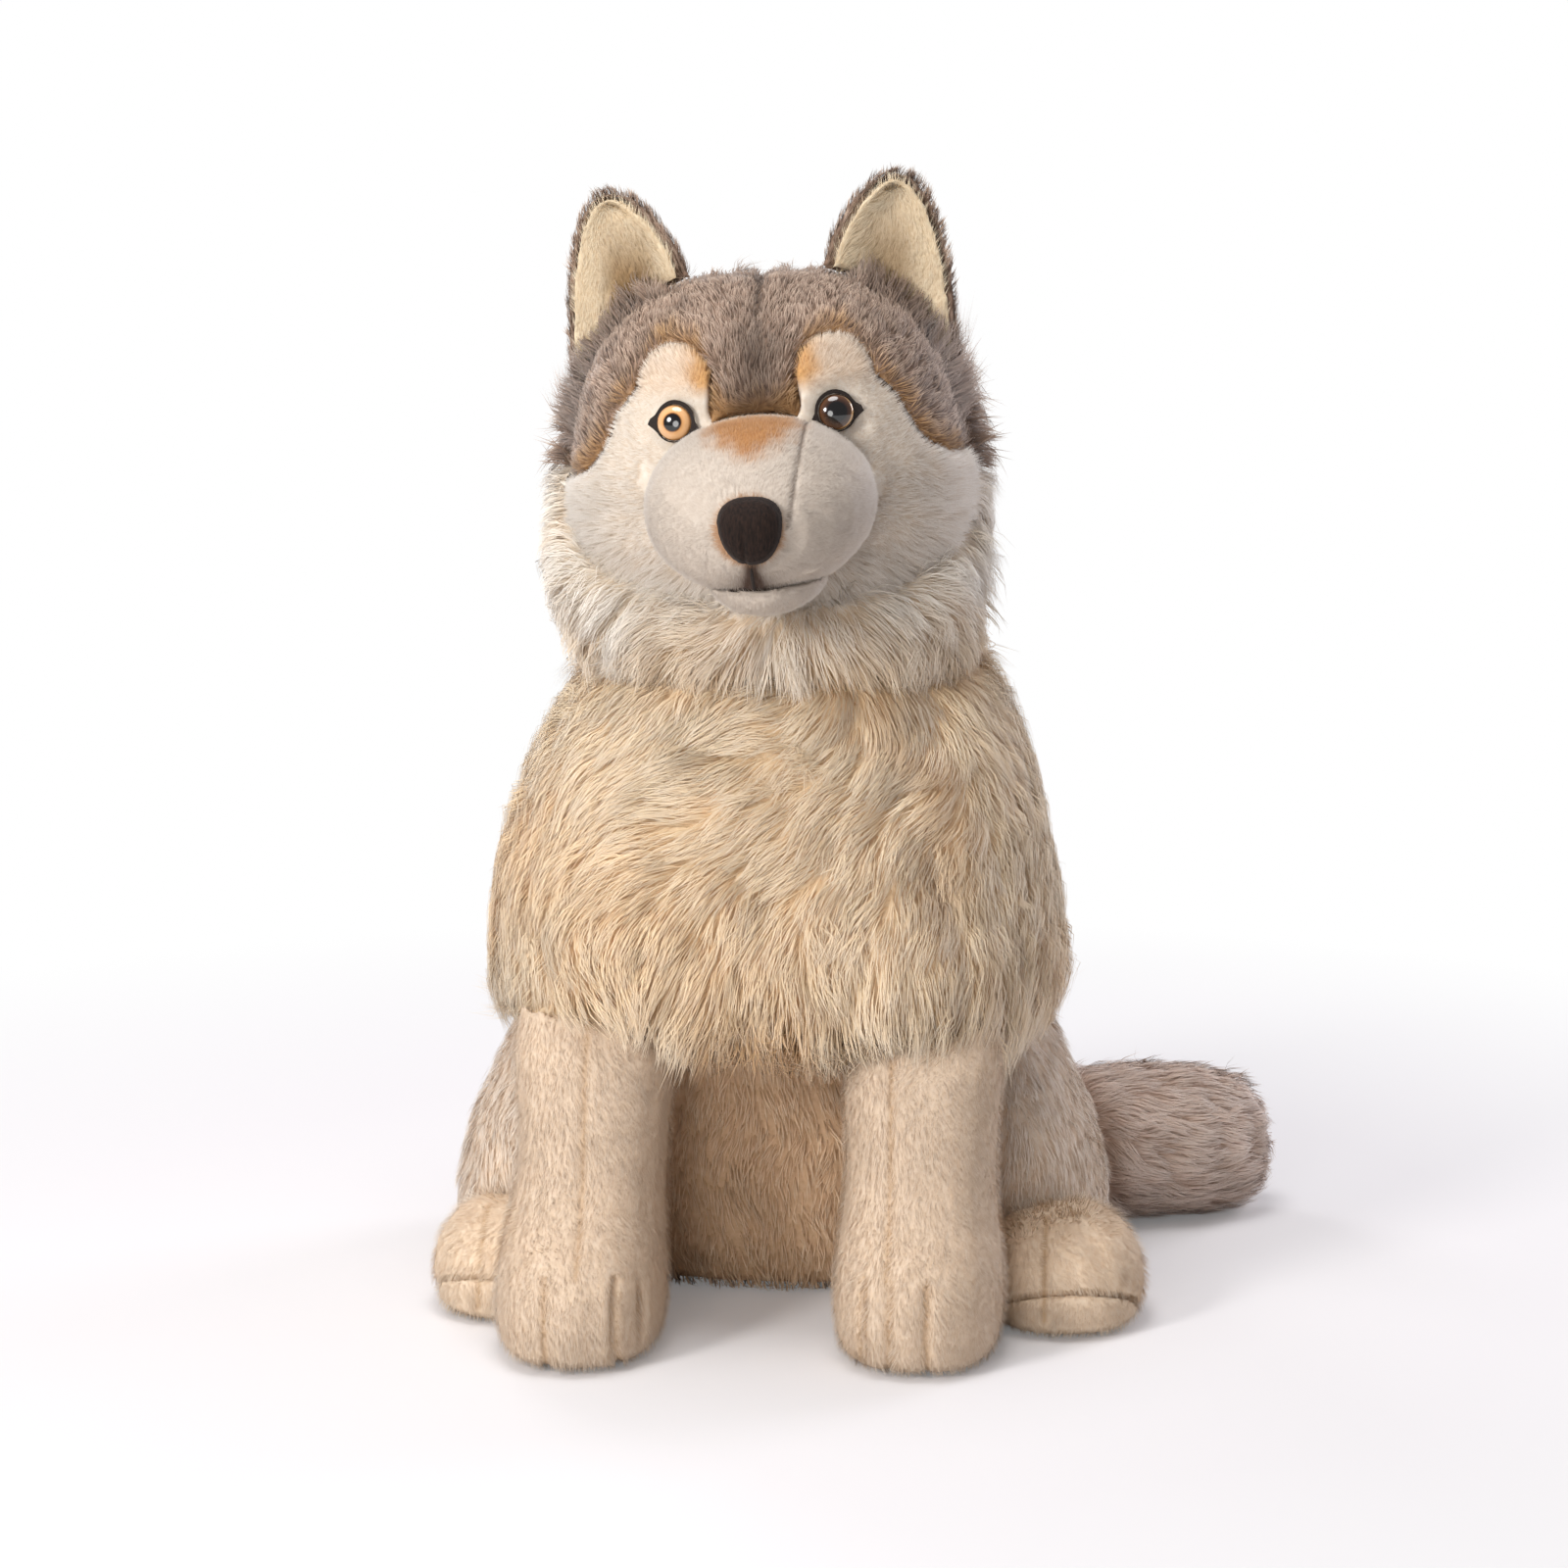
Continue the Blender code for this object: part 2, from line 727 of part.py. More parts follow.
def eye_socket(spot):
    """The room of an eye in the face: dome seat, shank hole and washer pocket."""
    gap = SEAM_GAP
    radius = EYE_DIAMETER / 2 + gap
    shank = SHANK_DIAMETER / 2 + gap
    room = WASHER_DIAMETER / 2 + gap
    roof = -0.009 + gap
    floor = -0.009 - WASHER_THICKNESS - gap
    end = -SHANK_LENGTH - gap
    profile = [(0.0, 0.012), (radius, 0.012), (radius, -0.0022 - gap), (shank, -0.0022 - gap)]
    profile += [(shank, roof), (room, roof), (room, floor), (shank, floor), (shank, end), (0.0, end)]
    return turned("eye_socket", profile, 16, spot)


def liner_outline(side):
    """Almond with one low inner corner and one outer corner, round the eye."""
    points = []
    radius = EYE_DIAMETER / 2
    inner = math.pi if side > 0 else 0.0
    outer = 0.0 if side > 0 else math.pi
    inner_corner = inner + side * 0.42
    for i in range(30):
        angle = 2 * math.pi * i / 30
        reach = radius + 0.0008 + 0.0015 * (1 + math.sin(angle)) / 2
        for corner, size in ((inner_corner, 0.0050), (outer + side * 0.05, 0.0042)):
            turn = math.atan2(math.sin(angle - corner), math.cos(angle - corner))
            reach += size * math.exp(-((turn / 0.24) ** 2))
        points.append((reach * math.cos(angle), reach * math.sin(angle)))
    return points


# Legs, feet and tail


def leg_angles():
    """Ring angles, closer together over the toes at the front."""
    front = [math.radians(a) for a in np.linspace(225, 315, 17)]
    rest = [math.radians(a) for a in np.linspace(315, 585, 15)[1:-1]]
    return front + rest


def leg_shape(side):
    """A standing front leg with its paw and the sewn grooves between the toes."""
    ahead = 0.0 if side > 0 else -0.008
    aside = 0.0 if side > 0 else -0.005
    rows = (
        (0.000, 0.83, 1.0, -0.052, 0.045),
        (0.007, 0.94, 1.0, -0.061, 0.054),
        (0.024, 1.00, 1.0, -0.0645, 0.0595),
        (0.042, 0.985, 1.0, -0.0620, 0.0620),
        (0.058, 0.955, 0.9, -0.0520, 0.0620),
        (0.072, 0.915, 0.6, -0.0390, 0.0610),
        (0.092, 0.885, 0.3, -0.0300, 0.0600),
        (0.120, 0.905, 0.1, -0.0260, 0.0600),
        (0.150, 0.965, 0.0, -0.0205, 0.0620),
        (0.176, 0.930, 0.0, -0.0050, 0.0650),
        (0.200, 0.820, 0.0, 0.0150, 0.0660),
        (0.222, 0.620, 0.0, 0.0330, 0.0640),
    )
    stretch = LEG_HEIGHT / 0.240
    sections = []
    for z, w, paw, front, back in rows:
        width = PAW_WIDTH if z < 0.05 else PAW_WIDTH + (LEG_WIDTH * 1.107 - PAW_WIDTH) * (1 - paw)
        reach = PAW_LENGTH / 0.124
        centre = side * LEG_SPACING / 2 + aside * paw
        low = -0.170 + front * reach + ahead * (0.4 + 0.6 * paw)
        sections.append((z * stretch, centre, w * width / 2, low, -0.170 + back * reach))
    top = side * LEG_SPACING / 2
    sections.append((LEG_HEIGHT, top, 0.0, -0.123, -0.123))
    shape = loft("leg_shape", sections, steps=1, power=2.25, angles=leg_angles())
    for inward in (0.031, 0.014, -0.005):
        x = side * (LEG_SPACING / 2 - inward) + aside
        for z in (0.012, 0.026, 0.040, 0.052):
            y = -0.233 + ahead + 8.0 * max(0.0, z - 0.03) ** 1.5
            pressed(shape, (x, y, z), (0.0038, 0.020, 0.0105), (0.0, TOE_GROOVE * 0.62, 0.0))
    return shape


def thigh_shape(side):
    """The folded hind leg as a pad beside the seat."""
    rows = (
        (0.000, 0.118, 0.88, -0.45, 0.40),
        (0.045, 0.122, 0.985, -0.49, 0.44),
        (0.170, 0.126, 1.00, -0.515, 0.46),
        (0.310, 0.126, 0.985, -0.515, 0.465),
        (0.480, 0.123, 0.895, -0.49, 0.450),
        (0.620, 0.118, 0.800, -0.435, 0.410),
        (0.740, 0.112, 0.740, -0.360, 0.350),
        (0.855, 0.106, 0.655, -0.280, 0.280),
        (0.950, 0.100, 0.420, -0.170, 0.170),
        (1.000, 0.098, 0.000, 0.000, 0.000),
    )
    sections = [
        (h * THIGH_HEIGHT, side * x, w * THIGH_WIDTH / 2, f * THIGH_LENGTH, b * THIGH_LENGTH)
        for h, x, w, f, b in rows
    ]
    return loft("thigh_shape", sections, segments=22, steps=1, power=2.15)


def foot_place(side):
    spot = Vector((0.157, -0.105, 0.0)) if side > 0 else Vector((-0.134, -0.105, 0.0))
    return Matrix.Translation(spot) @ Matrix.Rotation(math.radians(side * FOOT_TURN), 4, "Z")


def foot_shape(side):
    """A hind foot, domed above and flat below."""
    rows = (
        (0.000, 0.80, -0.42, 0.40),
        (0.090, 0.92, -0.48, 0.45),
        (0.350, 1.00, -0.505, 0.50),
        (0.600, 0.96, -0.455, 0.49),
        (0.800, 0.80, -0.340, 0.44),
        (0.940, 0.50, -0.170, 0.33),
        (1.000, 0.00, 0.08, 0.08),
    )
    sections = [
        (h * FOOT_HEIGHT, 0.0, w * FOOT_WIDTH / 2, f * FOOT_LENGTH, b * FOOT_LENGTH)
        for h, w, f, b in rows
    ]
    shape = loft("foot_shape", sections, segments=30, steps=1, power=2.2)
    for x, deep in ((side * 0.012, 0.0028), (side * -0.010, 0.0028), (side * 0.031, 0.0022)):
        for z in (0.040, 0.052):
            pressed(shape, (x, -0.048 + (z - 0.036), z), (0.0042, 0.020, 0.0095), (0.0, deep, -deep * 0.4))
    shape.data.transform(foot_place(side))
    return shape


def sole_zone(side, by):
    """The wedge at the lower front of a foot that its sole panel fills."""
    front, back = -0.075, 0.030
    outline = [(front, -0.02), (back + 2 * by, -0.02), (front, SOLE_HEIGHT + 0.006 + by)]
    return prism("sole_zone", outline, "x", -0.08, 0.08, foot_place(side))


def tail_shape():
    """A fat tail that lies on the floor, from the rump out to the wolf's left."""
    rows = (
        (0.000, 0.074, 0.00, 0.46, 0.46),
        (0.050, 0.077, 0.52, 0.22, 0.74),
        (0.190, 0.084, 0.72, 0.10, 0.88),
        (0.350, 0.083, 0.84, 0.01, 0.94),
        (0.510, 0.085, 0.92, -0.03, 0.985),
        (0.670, 0.089, 0.95, -0.04, 1.000),
        (0.810, 0.097, 0.92, -0.04, 0.985),
        (0.920, 0.107, 0.77, -0.01, 0.890),
        (0.978, 0.113, 0.50, 0.08, 0.700),
        (1.000, 0.115, 0.00, 0.40, 0.400),
    )
    sections = [
        (0.030 + t * TAIL_LENGTH, y, w * TAIL_THICKNESS / 2, low * TAIL_THICKNESS, high * TAIL_THICKNESS)
        for t, y, w, low, high in rows
    ]
    shape = loft("tail_shape", sections, segments=24, steps=1, along="x")
    return rested(shape)


def tail_zone(by):
    """What lies above and behind the seam along the top of the tail."""
    seam = 0.084
    outline = [(seam - by, 0.15), (seam - by, 0.097), (seam + 0.066, 0.012 - by), (0.25, 0.012 - by), (0.25, 0.15)]
    follow = Matrix.Translation((0.14, 0.0, 0.0)) @ Matrix.Rotation(math.radians(7.5), 4, "Z")
    return prism("tail_zone", outline, "x", -0.20, 0.25, follow)


# Build, from the pieces that keep their shape to those that rest against them


def build_torso(ruff, head):
    mane, seat = mane_shape(), seat_shape()
    body = copy_of(seat)
    cut(body, grown(mane), saddle_zone(SEAM_GAP))
    back = overlap_of(joined(copy_of(mane), copy_of(seat)), saddle_zone(0.0))
    cut(back, grown(ruff), grown(head))
    front = copy_of(mane)
    cut(front, saddle_zone(SEAM_GAP), grown(ruff), grown(head))
    finish(body, "body", SAND_PILE)
    finish(back, "back_saddle", BROWN_PILE)
    finish(front, "chest_mane", SAND_PILE)
    return mane, seat


def build_head(place, head, ruff, muzzle, chin):
    sockets = [eye_socket(eye_place(place, head, side)) for _, side in SIDES]
    crown = overlap_of(copy_of(head), crown_zone(place, 0.0))
    cut(crown, brow_zone(place, 1, SEAM_GAP), brow_zone(place, -1, SEAM_GAP))
    cap = crown_zone(place, SEAM_GAP)
    cut(cap, brow_zone(place, 1, 0.0), brow_zone(place, -1, 0.0))
    face = cut(copy_of(head), cap)
    for socket in sockets:
        cut(face, copy_of(socket))
    snout = cut(copy_of(muzzle), grown(head))
    jaw = cut(copy_of(chin), grown(muzzle), grown(head))
    nose = nose_shape(place)
    pad = cut(copy_of(nose), grown(muzzle))
    neck = cut(copy_of(ruff), nape_zone(SEAM_GAP), grown(head), grown(muzzle), grown(chin))
    nape = cut(overlap_of(copy_of(ruff), nape_zone(0.0)), grown(head))
    for name, side in SIDES:
        spot = eye_place(place, head, side)
        finish(turned("eye", eye_profile(0.0), 16, spot), "eye_" + name, AMBER_PLASTIC)
        seat = spot @ Matrix.Translation((0.0, 0.0, -0.009 - WASHER_THICKNESS))
        ring = SHANK_DIAMETER / 2 + SEAM_GAP
        washer = washer_ring("washer", ring, WASHER_DIAMETER / 2, WASHER_THICKNESS, 16, seat)
        finish(washer, "eye_washer_" + name, WHITE_PLASTIC, smooth=False)
        liner = prism("liner", liner_outline(side), "z", -0.008, 0.008, spot)
        overlap_of(liner, grown(head, LINER_THICKNESS + SEAM_GAP))
        cut(liner, grown(head), copy_of(sockets[0 if side > 0 else 1]), grown(muzzle))
        finish(liner, "eye_liner_" + name, DARK_FELT)
        shell, lining = ear_pair(place, side)
        for ear in (shell, lining):
            cut(ear, grown(head), grown(ruff))
        finish(shell, "ear_back_" + name, BROWN_PILE)
        finish(lining, "ear_lining_" + name, EAR_PILE)
    for socket in sockets:
        cut(snout, socket)
    thread = cut(mouth_thread(place, muzzle), grown(chin), grown(nose))
    drop(nose)
    finish(thread, "mouth_stitch", DARK_FELT)
    finish(crown, "crown", BROWN_PILE)
    finish(face, "head_face", CREAM_PILE)
    finish(snout, "muzzle", PALE_PILE)
    finish(jaw, "chin", PALE_PILE)
    finish(pad, "nose", NOSE_VELOUR)
    finish(neck, "neck_ruff", CREAM_PILE)
    finish(nape, "nape_ruff", BROWN_PILE)


def mouth_thread(place, muzzle):
    """A short sewn line that follows the muzzle down from the nose."""
    top = -NOSE_HEIGHT - 0.0012
    radius = MOUTH_THREAD / 2
    rings = []
    points = []
    faces = []
    steps, around = 7, 10
    for i in range(steps):
        z = top - MOUTH_LENGTH * i / (steps - 1)
        point, normal = front_of(muzzle, place, -0.001, z)
        centre = point + normal * (radius + SEAM_GAP)
        across = Vector((1.0, 0.0, 0.0))
        size = radius * (0.55 if i in (0, steps - 1) else 1.0)
        rings.append(list(range(len(points), len(points) + around)))
        for k in range(around):
            angle = 2 * math.pi * k / around
            points.append(centre + (across * math.cos(angle) + normal * math.sin(angle)) * size)
    for a, b in zip(rings, rings[1:]):
        for k in range(around):
            j = (k + 1) % around
            faces.append((a[k], a[j], b[j], b[k]))
    faces += [tuple(rings[0]), tuple(rings[-1])]
    return solid_from("mouth_thread", points, faces, place)


def build_limbs(mane, seat):
    tail = tail_shape()
    rump = grown(seat)
    thighs = []
    for name, side in SIDES:
        leg = leg_shape(side)
        thigh = thigh_shape(side)
        foot = foot_shape(side)
        limb = cut(copy_of(leg), grown(mane), grown(seat))
        finish(limb, "front_leg_" + name, SAND_PILE)
        pad = cut(copy_of(thigh), grown(seat), grown(mane), grown(leg))
        finish(pad, "thigh_" + name, SAND_PILE)
        sole = overlap_of(copy_of(foot), sole_zone(side, 0.0))
        cut(foot, sole_zone(side, SEAM_GAP))
        for piece, label, look in ((foot, "hind_foot_", SAND_PILE), (sole, "hind_sole_", CREAM_PILE)):
            cut(piece, grown(thigh), grown(leg), grown(seat))
            finish(piece, label + name, look)
        thighs.append(thigh)
        drop(leg)
    upper = cut(overlap_of(copy_of(tail), tail_zone(0.0)), copy_of(rump), grown(mane))
    lower = cut(copy_of(tail), tail_zone(SEAM_GAP), rump, grown(mane))
    for thigh in thighs:
        cut(upper, grown(thigh))
        cut(lower, grown(thigh))
    drop(tail, *thighs)
    finish(upper, "tail_top", BROWN_PILE)
    finish(lower, "tail", TAIL_PILE)


def main():
    clear_scene()
    place = head_place()
    head, ruff = head_shape(place), ruff_shape()
    muzzle, chin = muzzle_shape(place), chin_shape(place)
    mane, seat = build_torso(ruff, head)
    build_head(place, head, ruff, muzzle, chin)
    build_limbs(mane, seat)
    drop(mane, seat, head, ruff, muzzle, chin)


main()
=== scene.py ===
import sys
import logging
import math
from dataclasses import dataclass, field, replace
from enum import Enum
from typing import Callable, Optional, Sequence

import bpy
import numpy as np
from mathutils import Matrix, Vector
from mathutils.bvhtree import BVHTree
from mathutils.kdtree import KDTree


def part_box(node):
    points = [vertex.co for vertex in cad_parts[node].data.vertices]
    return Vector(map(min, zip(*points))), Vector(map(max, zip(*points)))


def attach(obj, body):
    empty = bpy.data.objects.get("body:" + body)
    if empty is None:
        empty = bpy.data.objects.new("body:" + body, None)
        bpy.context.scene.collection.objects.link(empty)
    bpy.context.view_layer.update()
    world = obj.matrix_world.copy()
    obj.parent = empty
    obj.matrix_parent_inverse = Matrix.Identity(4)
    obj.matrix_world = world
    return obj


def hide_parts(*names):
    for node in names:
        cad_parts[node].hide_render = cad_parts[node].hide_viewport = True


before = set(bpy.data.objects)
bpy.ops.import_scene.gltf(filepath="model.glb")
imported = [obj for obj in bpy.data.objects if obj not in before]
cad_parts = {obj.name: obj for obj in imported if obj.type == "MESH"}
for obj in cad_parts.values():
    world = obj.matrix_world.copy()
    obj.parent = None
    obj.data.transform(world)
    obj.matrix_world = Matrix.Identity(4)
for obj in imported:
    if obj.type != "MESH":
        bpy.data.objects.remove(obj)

# Looks of the sitting plush wolf: stitched cloth under its pile, eyes, nose, light and camera.
# Metres, +Z up, the face looks towards -Y, and the wolf's own left is +X, as in the solids.

log = logging.getLogger("plush_wolf")


class Side(Enum):
    """The wolf's own two sides, and the way along X that each lies."""

    LEFT = 1
    RIGHT = -1

    @property
    def tag(self) -> str:
        """The side's name, as the solids have it."""
        return self.name.lower()


Socket = bpy.types.NodeSocket

MM = 0.001
PILE_RISE = "pile_rise"
PILE_TONE = "pile_tone"
PILE_MARK = "pile_mark"
PILE_SHADE = "pile_shade"
BAKE_MAP = "OFBake"

PILE_SHARE = 1.0
# How dark the pile is painted along a seam: painted shade in the seam's groove
SEAM_SHADE = 0.7
SAME_VERTEX = 0.00002
LOWEST_CLOTH = 0.0006
LOWEST_FIBRE = 0.0007
LOWEST_BLADE = 0.0005

HEAD_PIVOT = (-0.002, -0.065, 0.450)
HEAD_TURN = 1.8
HEAD_TILT = 4.0


def head_place() -> Matrix:
    """Where the head sits: its own frame, in the wolf's frame."""
    turn = Matrix.Rotation(math.radians(HEAD_TURN), 4, "Z")
    tilt = Matrix.Rotation(math.radians(-HEAD_TILT), 4, "Y")
    return Matrix.Translation(HEAD_PIVOT) @ turn @ tilt


HEAD = head_place()
HEAD_TURNED = np.array(HEAD.to_3x3())
NOSE_TIP = np.array(HEAD @ Vector((-0.003, -0.190, -0.017)))


def in_head(points: np.ndarray) -> np.ndarray:
    """Points of the wolf's frame, in the head's own frame."""
    return (points - np.array(HEAD_PIVOT)) @ HEAD_TURNED


def linear(hex_colour: str) -> tuple[float, float, float]:
    """An sRGB hex colour as linear light."""
    values = [int(hex_colour[i:i + 2], 16) / 255 for i in (1, 3, 5)]
    return tuple(v / 12.92 if v <= 0.04045 else ((v + 0.055) / 1.055) ** 2.4 for v in values)


def smooth(low: float, high: float, value: np.ndarray) -> np.ndarray:
    """0 below low, 1 above high, and a soft step between; low may be above high."""
    t = np.clip((value - low) / (high - low), 0.0, 1.0)
    return t * t * (3 - 2 * t)


def unit(vectors: np.ndarray) -> np.ndarray:
    """The same directions at length one."""
    return vectors / np.maximum(np.linalg.norm(vectors, axis=1, keepdims=True), 1e-9)


def ripple(points: np.ndarray, size: float, seed: int) -> np.ndarray:
    """Soft random values from -1 to 1 over space.

    Args:
        points: places, one a row.
        size: distance between a high and the next, in metres.
        seed: picks another pattern.

    Returns:
        One value for each place.
    """
    rng = np.random.default_rng(seed)
    total = np.zeros(len(points))
    for octave in range(7):
        direction = rng.normal(size=3)
        direction /= np.linalg.norm(direction)
        pace = 2 * math.pi / size * rng.uniform(0.6, 1.6)
        total += np.sin(points @ direction * pace + rng.uniform(0, 2 * math.pi))
    return total / 3.2


def ripple_field(points: np.ndarray, size: float, seed: int) -> np.ndarray:
    """Soft random directions over space, as three ripples."""
    return np.stack([ripple(points, size, seed + axis) for axis in (0, 101, 202)], axis=1)


# Materials


class Nodes:
    """The node tree of one material or world, with one way to add a node."""

    def __init__(self, owner: bpy.types.ID) -> None:
        """Starts an empty tree for this material or world."""
        self.owner = owner
        owner.use_nodes = True
        self.tree = owner.node_tree
        self.tree.nodes.clear()

    def add(self, kind: str, settings: Optional[dict] = None, **inputs: object) -> bpy.types.Node:
        """Adds a node.

        Args:
            kind: the node's type, such as ShaderNodeTexNoise.
            settings: its properties by name.
            **inputs: sockets by name, with _ for a space, or i0, i1 by number. A socket of
                another node is linked, and a value is set.

        Returns:
            The node.
        """
        node = self.tree.nodes.new(kind)
        for key, value in (settings or {}).items():
            setattr(node, key, value)
        for key, value in inputs.items():
            number = key[1:]
            wanted = int(number) if key[0] == "i" and number.isdigit() else key.replace("_", " ")
            socket = node.inputs[wanted]
            if isinstance(value, bpy.types.NodeSocket):
                self.tree.links.new(value, socket)
            else:
                socket.default_value = value
        return node

    def ramp(self, factor: Socket, stops: Sequence[tuple[float, str]]) -> Socket:
        """A colour ramp over sRGB hex stops.

        Args:
            factor: what the ramp reads.
            stops: place and colour of each stop.

        Returns:
            The ramp's colour.
        """
        node = self.add("ShaderNodeValToRGB", i0=factor)
        band = node.color_ramp.elements
        while len(band) < len(stops):
            band.new(0.5)
        for element, (place, colour) in zip(band, stops):
            element.position = place
            element.color = (*linear(colour), 1.0)
        return node.outputs[0]

    def value(self, name: str) -> Socket:
        """The number that is kept for each vertex under this name."""
        return self.add("ShaderNodeAttribute", {"attribute_name": name}).outputs["Fac"]

    def place(self) -> Socket:
        """The place on the object, in metres."""
        return self.add("ShaderNodeTexCoord").outputs["Object"]

    def noise(self, scale: float, place: Optional[Socket] = None, **inputs: float) -> Socket:
        """Soft noise from 0 to 1.

        Args:
            scale: how fine it is, per metre.
            place: where it is read, or the place on the object.
            **inputs: its other sockets, as for add.

        Returns:
            The noise.
        """
        place = self.place() if place is None else place
        return self.add("ShaderNodeTexNoise", i0=place, Scale=scale, **inputs).outputs["Fac"]

    def maths(self, operation: str, *values: object) -> Socket:
        """The result of a sum: its operation, such as ADD, and a socket or number for each input."""
        inputs = {f"i{number}": value for number, value in enumerate(values)}
        return self.add("ShaderNodeMath", {"operation": operation}, **inputs).outputs[0]

    def length(self, vector: Socket) -> Socket:
        """How long a vector is."""
        return self.add("ShaderNodeVectorMath", {"operation": "LENGTH"}, i0=vector).outputs["Value"]

    def span(self, value: Socket, low: float, high: float, start: float = 0.0, end: float = 1.0) -> Socket:
        """From start, where the value is low, to end, where it is high."""
        return self.add("ShaderNodeMapRange", i0=value, i1=low, i2=high, i3=start, i4=end).outputs[0]

    def mix(self, share: Socket, one: Socket, other: object) -> Socket:
        """One colour, and the other by this share of it."""
        return self.add("ShaderNodeMix", {"data_type": "RGBA"}, i0=share, i6=one, i7=other).outputs[2]

    def bump(self, height: Socket, strength: float, distance: float) -> Socket:
        """The normal over this height, which is distance metres at 1."""
        node = self.add("ShaderNodeBump", Strength=strength, Distance=distance, Height=height)
        return node.outputs[0]

    def surface(self, shader: Socket) -> bpy.types.Material:
        """Puts the shader on the surface and hands back the finished material."""
        self.add("ShaderNodeOutputMaterial", Surface=shader)
        return self.owner

    def finish(self, colour: Socket, **inputs: object) -> bpy.types.Material:
        """Puts a principled shader of this colour on the surface.

        Args:
            colour: its base colour.
            **inputs: its other sockets, as for add.

        Returns:
            The finished material.
        """
        return self.surface(self.add("ShaderNodeBsdfPrincipled", Base_Color=colour, **inputs).outputs[0])


@dataclass(frozen=True)
class PileFinish:
    """Modacrylic pile, sheared and brushed: colour from root to tip, darker and warmer at the root as
    painted shade deep in the pile, with a second dye where marked.

    Fine fibres scatter light softly, so it is rough, with a faint sheen at grazing angles.
    """

    name: str
    root: str
    middle: str
    tip: str
    mark_root: str
    mark_middle: str
    mark_tip: str
    # Colour of painted shade along seams and in creases, and of dark marks
    shade: str = "#8a6a4c"
    roughness: float = 0.62
    sheen: float = 0.16
    streak_mm: float = 3.0
    tone: float = 0.34
    grain: float = 0.12

    def colour(self, nodes: Nodes, rise: Socket) -> Socket:
        """The pile's colour at a height.

        Args:
            nodes: the material's nodes.
            rise: 0 at the root to 1 at the tip.

        Returns:
            The colour, with its marks, its painted shade at the root, its lighter and darker locks, and its
            shade colour.
        """
        # Darker and warmer towards the root: painted shade deep in the pile
        plain = nodes.ramp(rise, ((0.0, self.root), (0.45, self.middle), (1.0, self.tip)))
        marked = nodes.ramp(rise, ((0.0, self.mark_root), (0.45, self.mark_middle), (1.0, self.mark_tip)))
        mixed = nodes.mix(nodes.value(PILE_MARK), plain, marked)
        with_shade_colour = nodes.mix(nodes.value(PILE_SHADE), mixed, (*linear(self.shade), 1.0))
        streak = nodes.noise(1000 / (self.streak_mm * 2.5), Detail=2.0, Roughness=0.55)
        locks = nodes.maths("MULTIPLY_ADD", nodes.value(PILE_TONE), self.tone, 1.0)
        grain = nodes.maths("MULTIPLY_ADD", streak, self.grain, -self.grain / 2)
        level = nodes.maths("ADD", locks, grain)
        return nodes.add("ShaderNodeVectorMath", {"operation": "SCALE"}, i0=with_shade_colour, Scale=level).outputs[0]

    def pile(self) -> bpy.types.Material:
        """The material of the fibres."""
        nodes = Nodes(bpy.data.materials.new(self.name + "_pile"))
        return nodes.finish(
            self.colour(nodes, nodes.value(PILE_RISE)),
            Roughness=self.roughness,
            Specular_IOR_Level=0.25,
            Sheen_Weight=self.sheen,
            Sheen_Roughness=0.4,
        )

    def backing(self, nap_mm: float) -> bpy.types.Material:
        """The material of the cloth that the pile stands on.

        Args:
            nap_mm: width of one tuft in the nap.

        Returns:
            The material: the root half of the pile's colour, with a fine nap in its bump.
        """
        nodes = Nodes(bpy.data.materials.new(self.name + "_backing"))
        nap = nodes.noise(1000 / (nap_mm * 2.5), Detail=3.0)
        return nodes.finish(
            self.colour(nodes, nodes.span(nap, 0.3, 0.7, 0.2, 0.5)),
            Roughness=0.85,
            Specular_IOR_Level=0.1,
            Normal=nodes.bump(nap, 0.3, 0.4 * nap_mm * MM),
        )


SAND = PileFinish("sand", "#e2c298", "#eed9b9", "#f5ebdb", "#dbad79", "#ebc89a", "#f3dab8", "#b98d5c",
                  tone=0.09, grain=0.06)
# The body's pile: a darker, warmer copy of the sand pile, painted shade for the belly under the chest
BELLY_SHADED = PileFinish("belly", "#bf9a75", "#dab997", "#ecd8bd", "#a87a50", "#c39a6d", "#d9b88f",
                   tone=0.10, grain=0.07)
HAUNCH = PileFinish("haunch", "#d6bb9e", "#e8d7c4", "#f4ebe0", "#cda27a", "#dab693", "#e6cbb0",
                    tone=0.09, grain=0.06)
SHEARED = PileFinish("sheared_sand", "#d8bfa2", "#e2cdb6", "#ecdecc", "#cfa77c", "#dcb790", "#e6c9a6",
                     "#b8946c", tone=0.05, grain=0.03)
PAW = PileFinish("paw", "#dfc5a6", "#e9d4bb", "#f2e4d1", "#cfa77c", "#dcb790", "#e6c9a6", "#c4a27a",
                 tone=0.06, grain=0.04)
CREAM = PileFinish("cream", "#d3bea5", "#e3d8ca", "#efe9e1", "#b47c3e", "#cf9a55", "#e3b87c", "#8d7357",
                   tone=0.07, grain=0.05)
COLLAR = PileFinish("collar", "#dfc9ab", "#eee4d6", "#faf5ee", "#d8b07c", "#e6c79c", "#f0dbbb",
                    tone=0.10, grain=0.07)
PALE = PileFinish("pale", "#c0b1a2", "#cdc1b4", "#d5cbc0", "#a16c42", "#b58455", "#c79769", "#4a352a",
                  tone=0.04, grain=0.03)
BROWN = PileFinish("brown", "#5c4838", "#9a8170", "#dac3af", "#7c5734", "#ad8558", "#d6ae7b", "#33251d",
                   tone=0.25, grain=0.10)
TAIL = PileFinish("tail", "#c2a28c", "#e3ccbc", "#f7ebe2", "#85695a", "#b39a8b", "#cfbbaf",
                  tone=0.15, grain=0.09)
# The ear's second colour is the painted shade in the lining's dish
EAR = PileFinish("ear", "#dfc6a2", "#eddcbe", "#f6ebd4", "#85663f", "#a28157", "#bd9c70",
                 tone=0.05, grain=0.05)


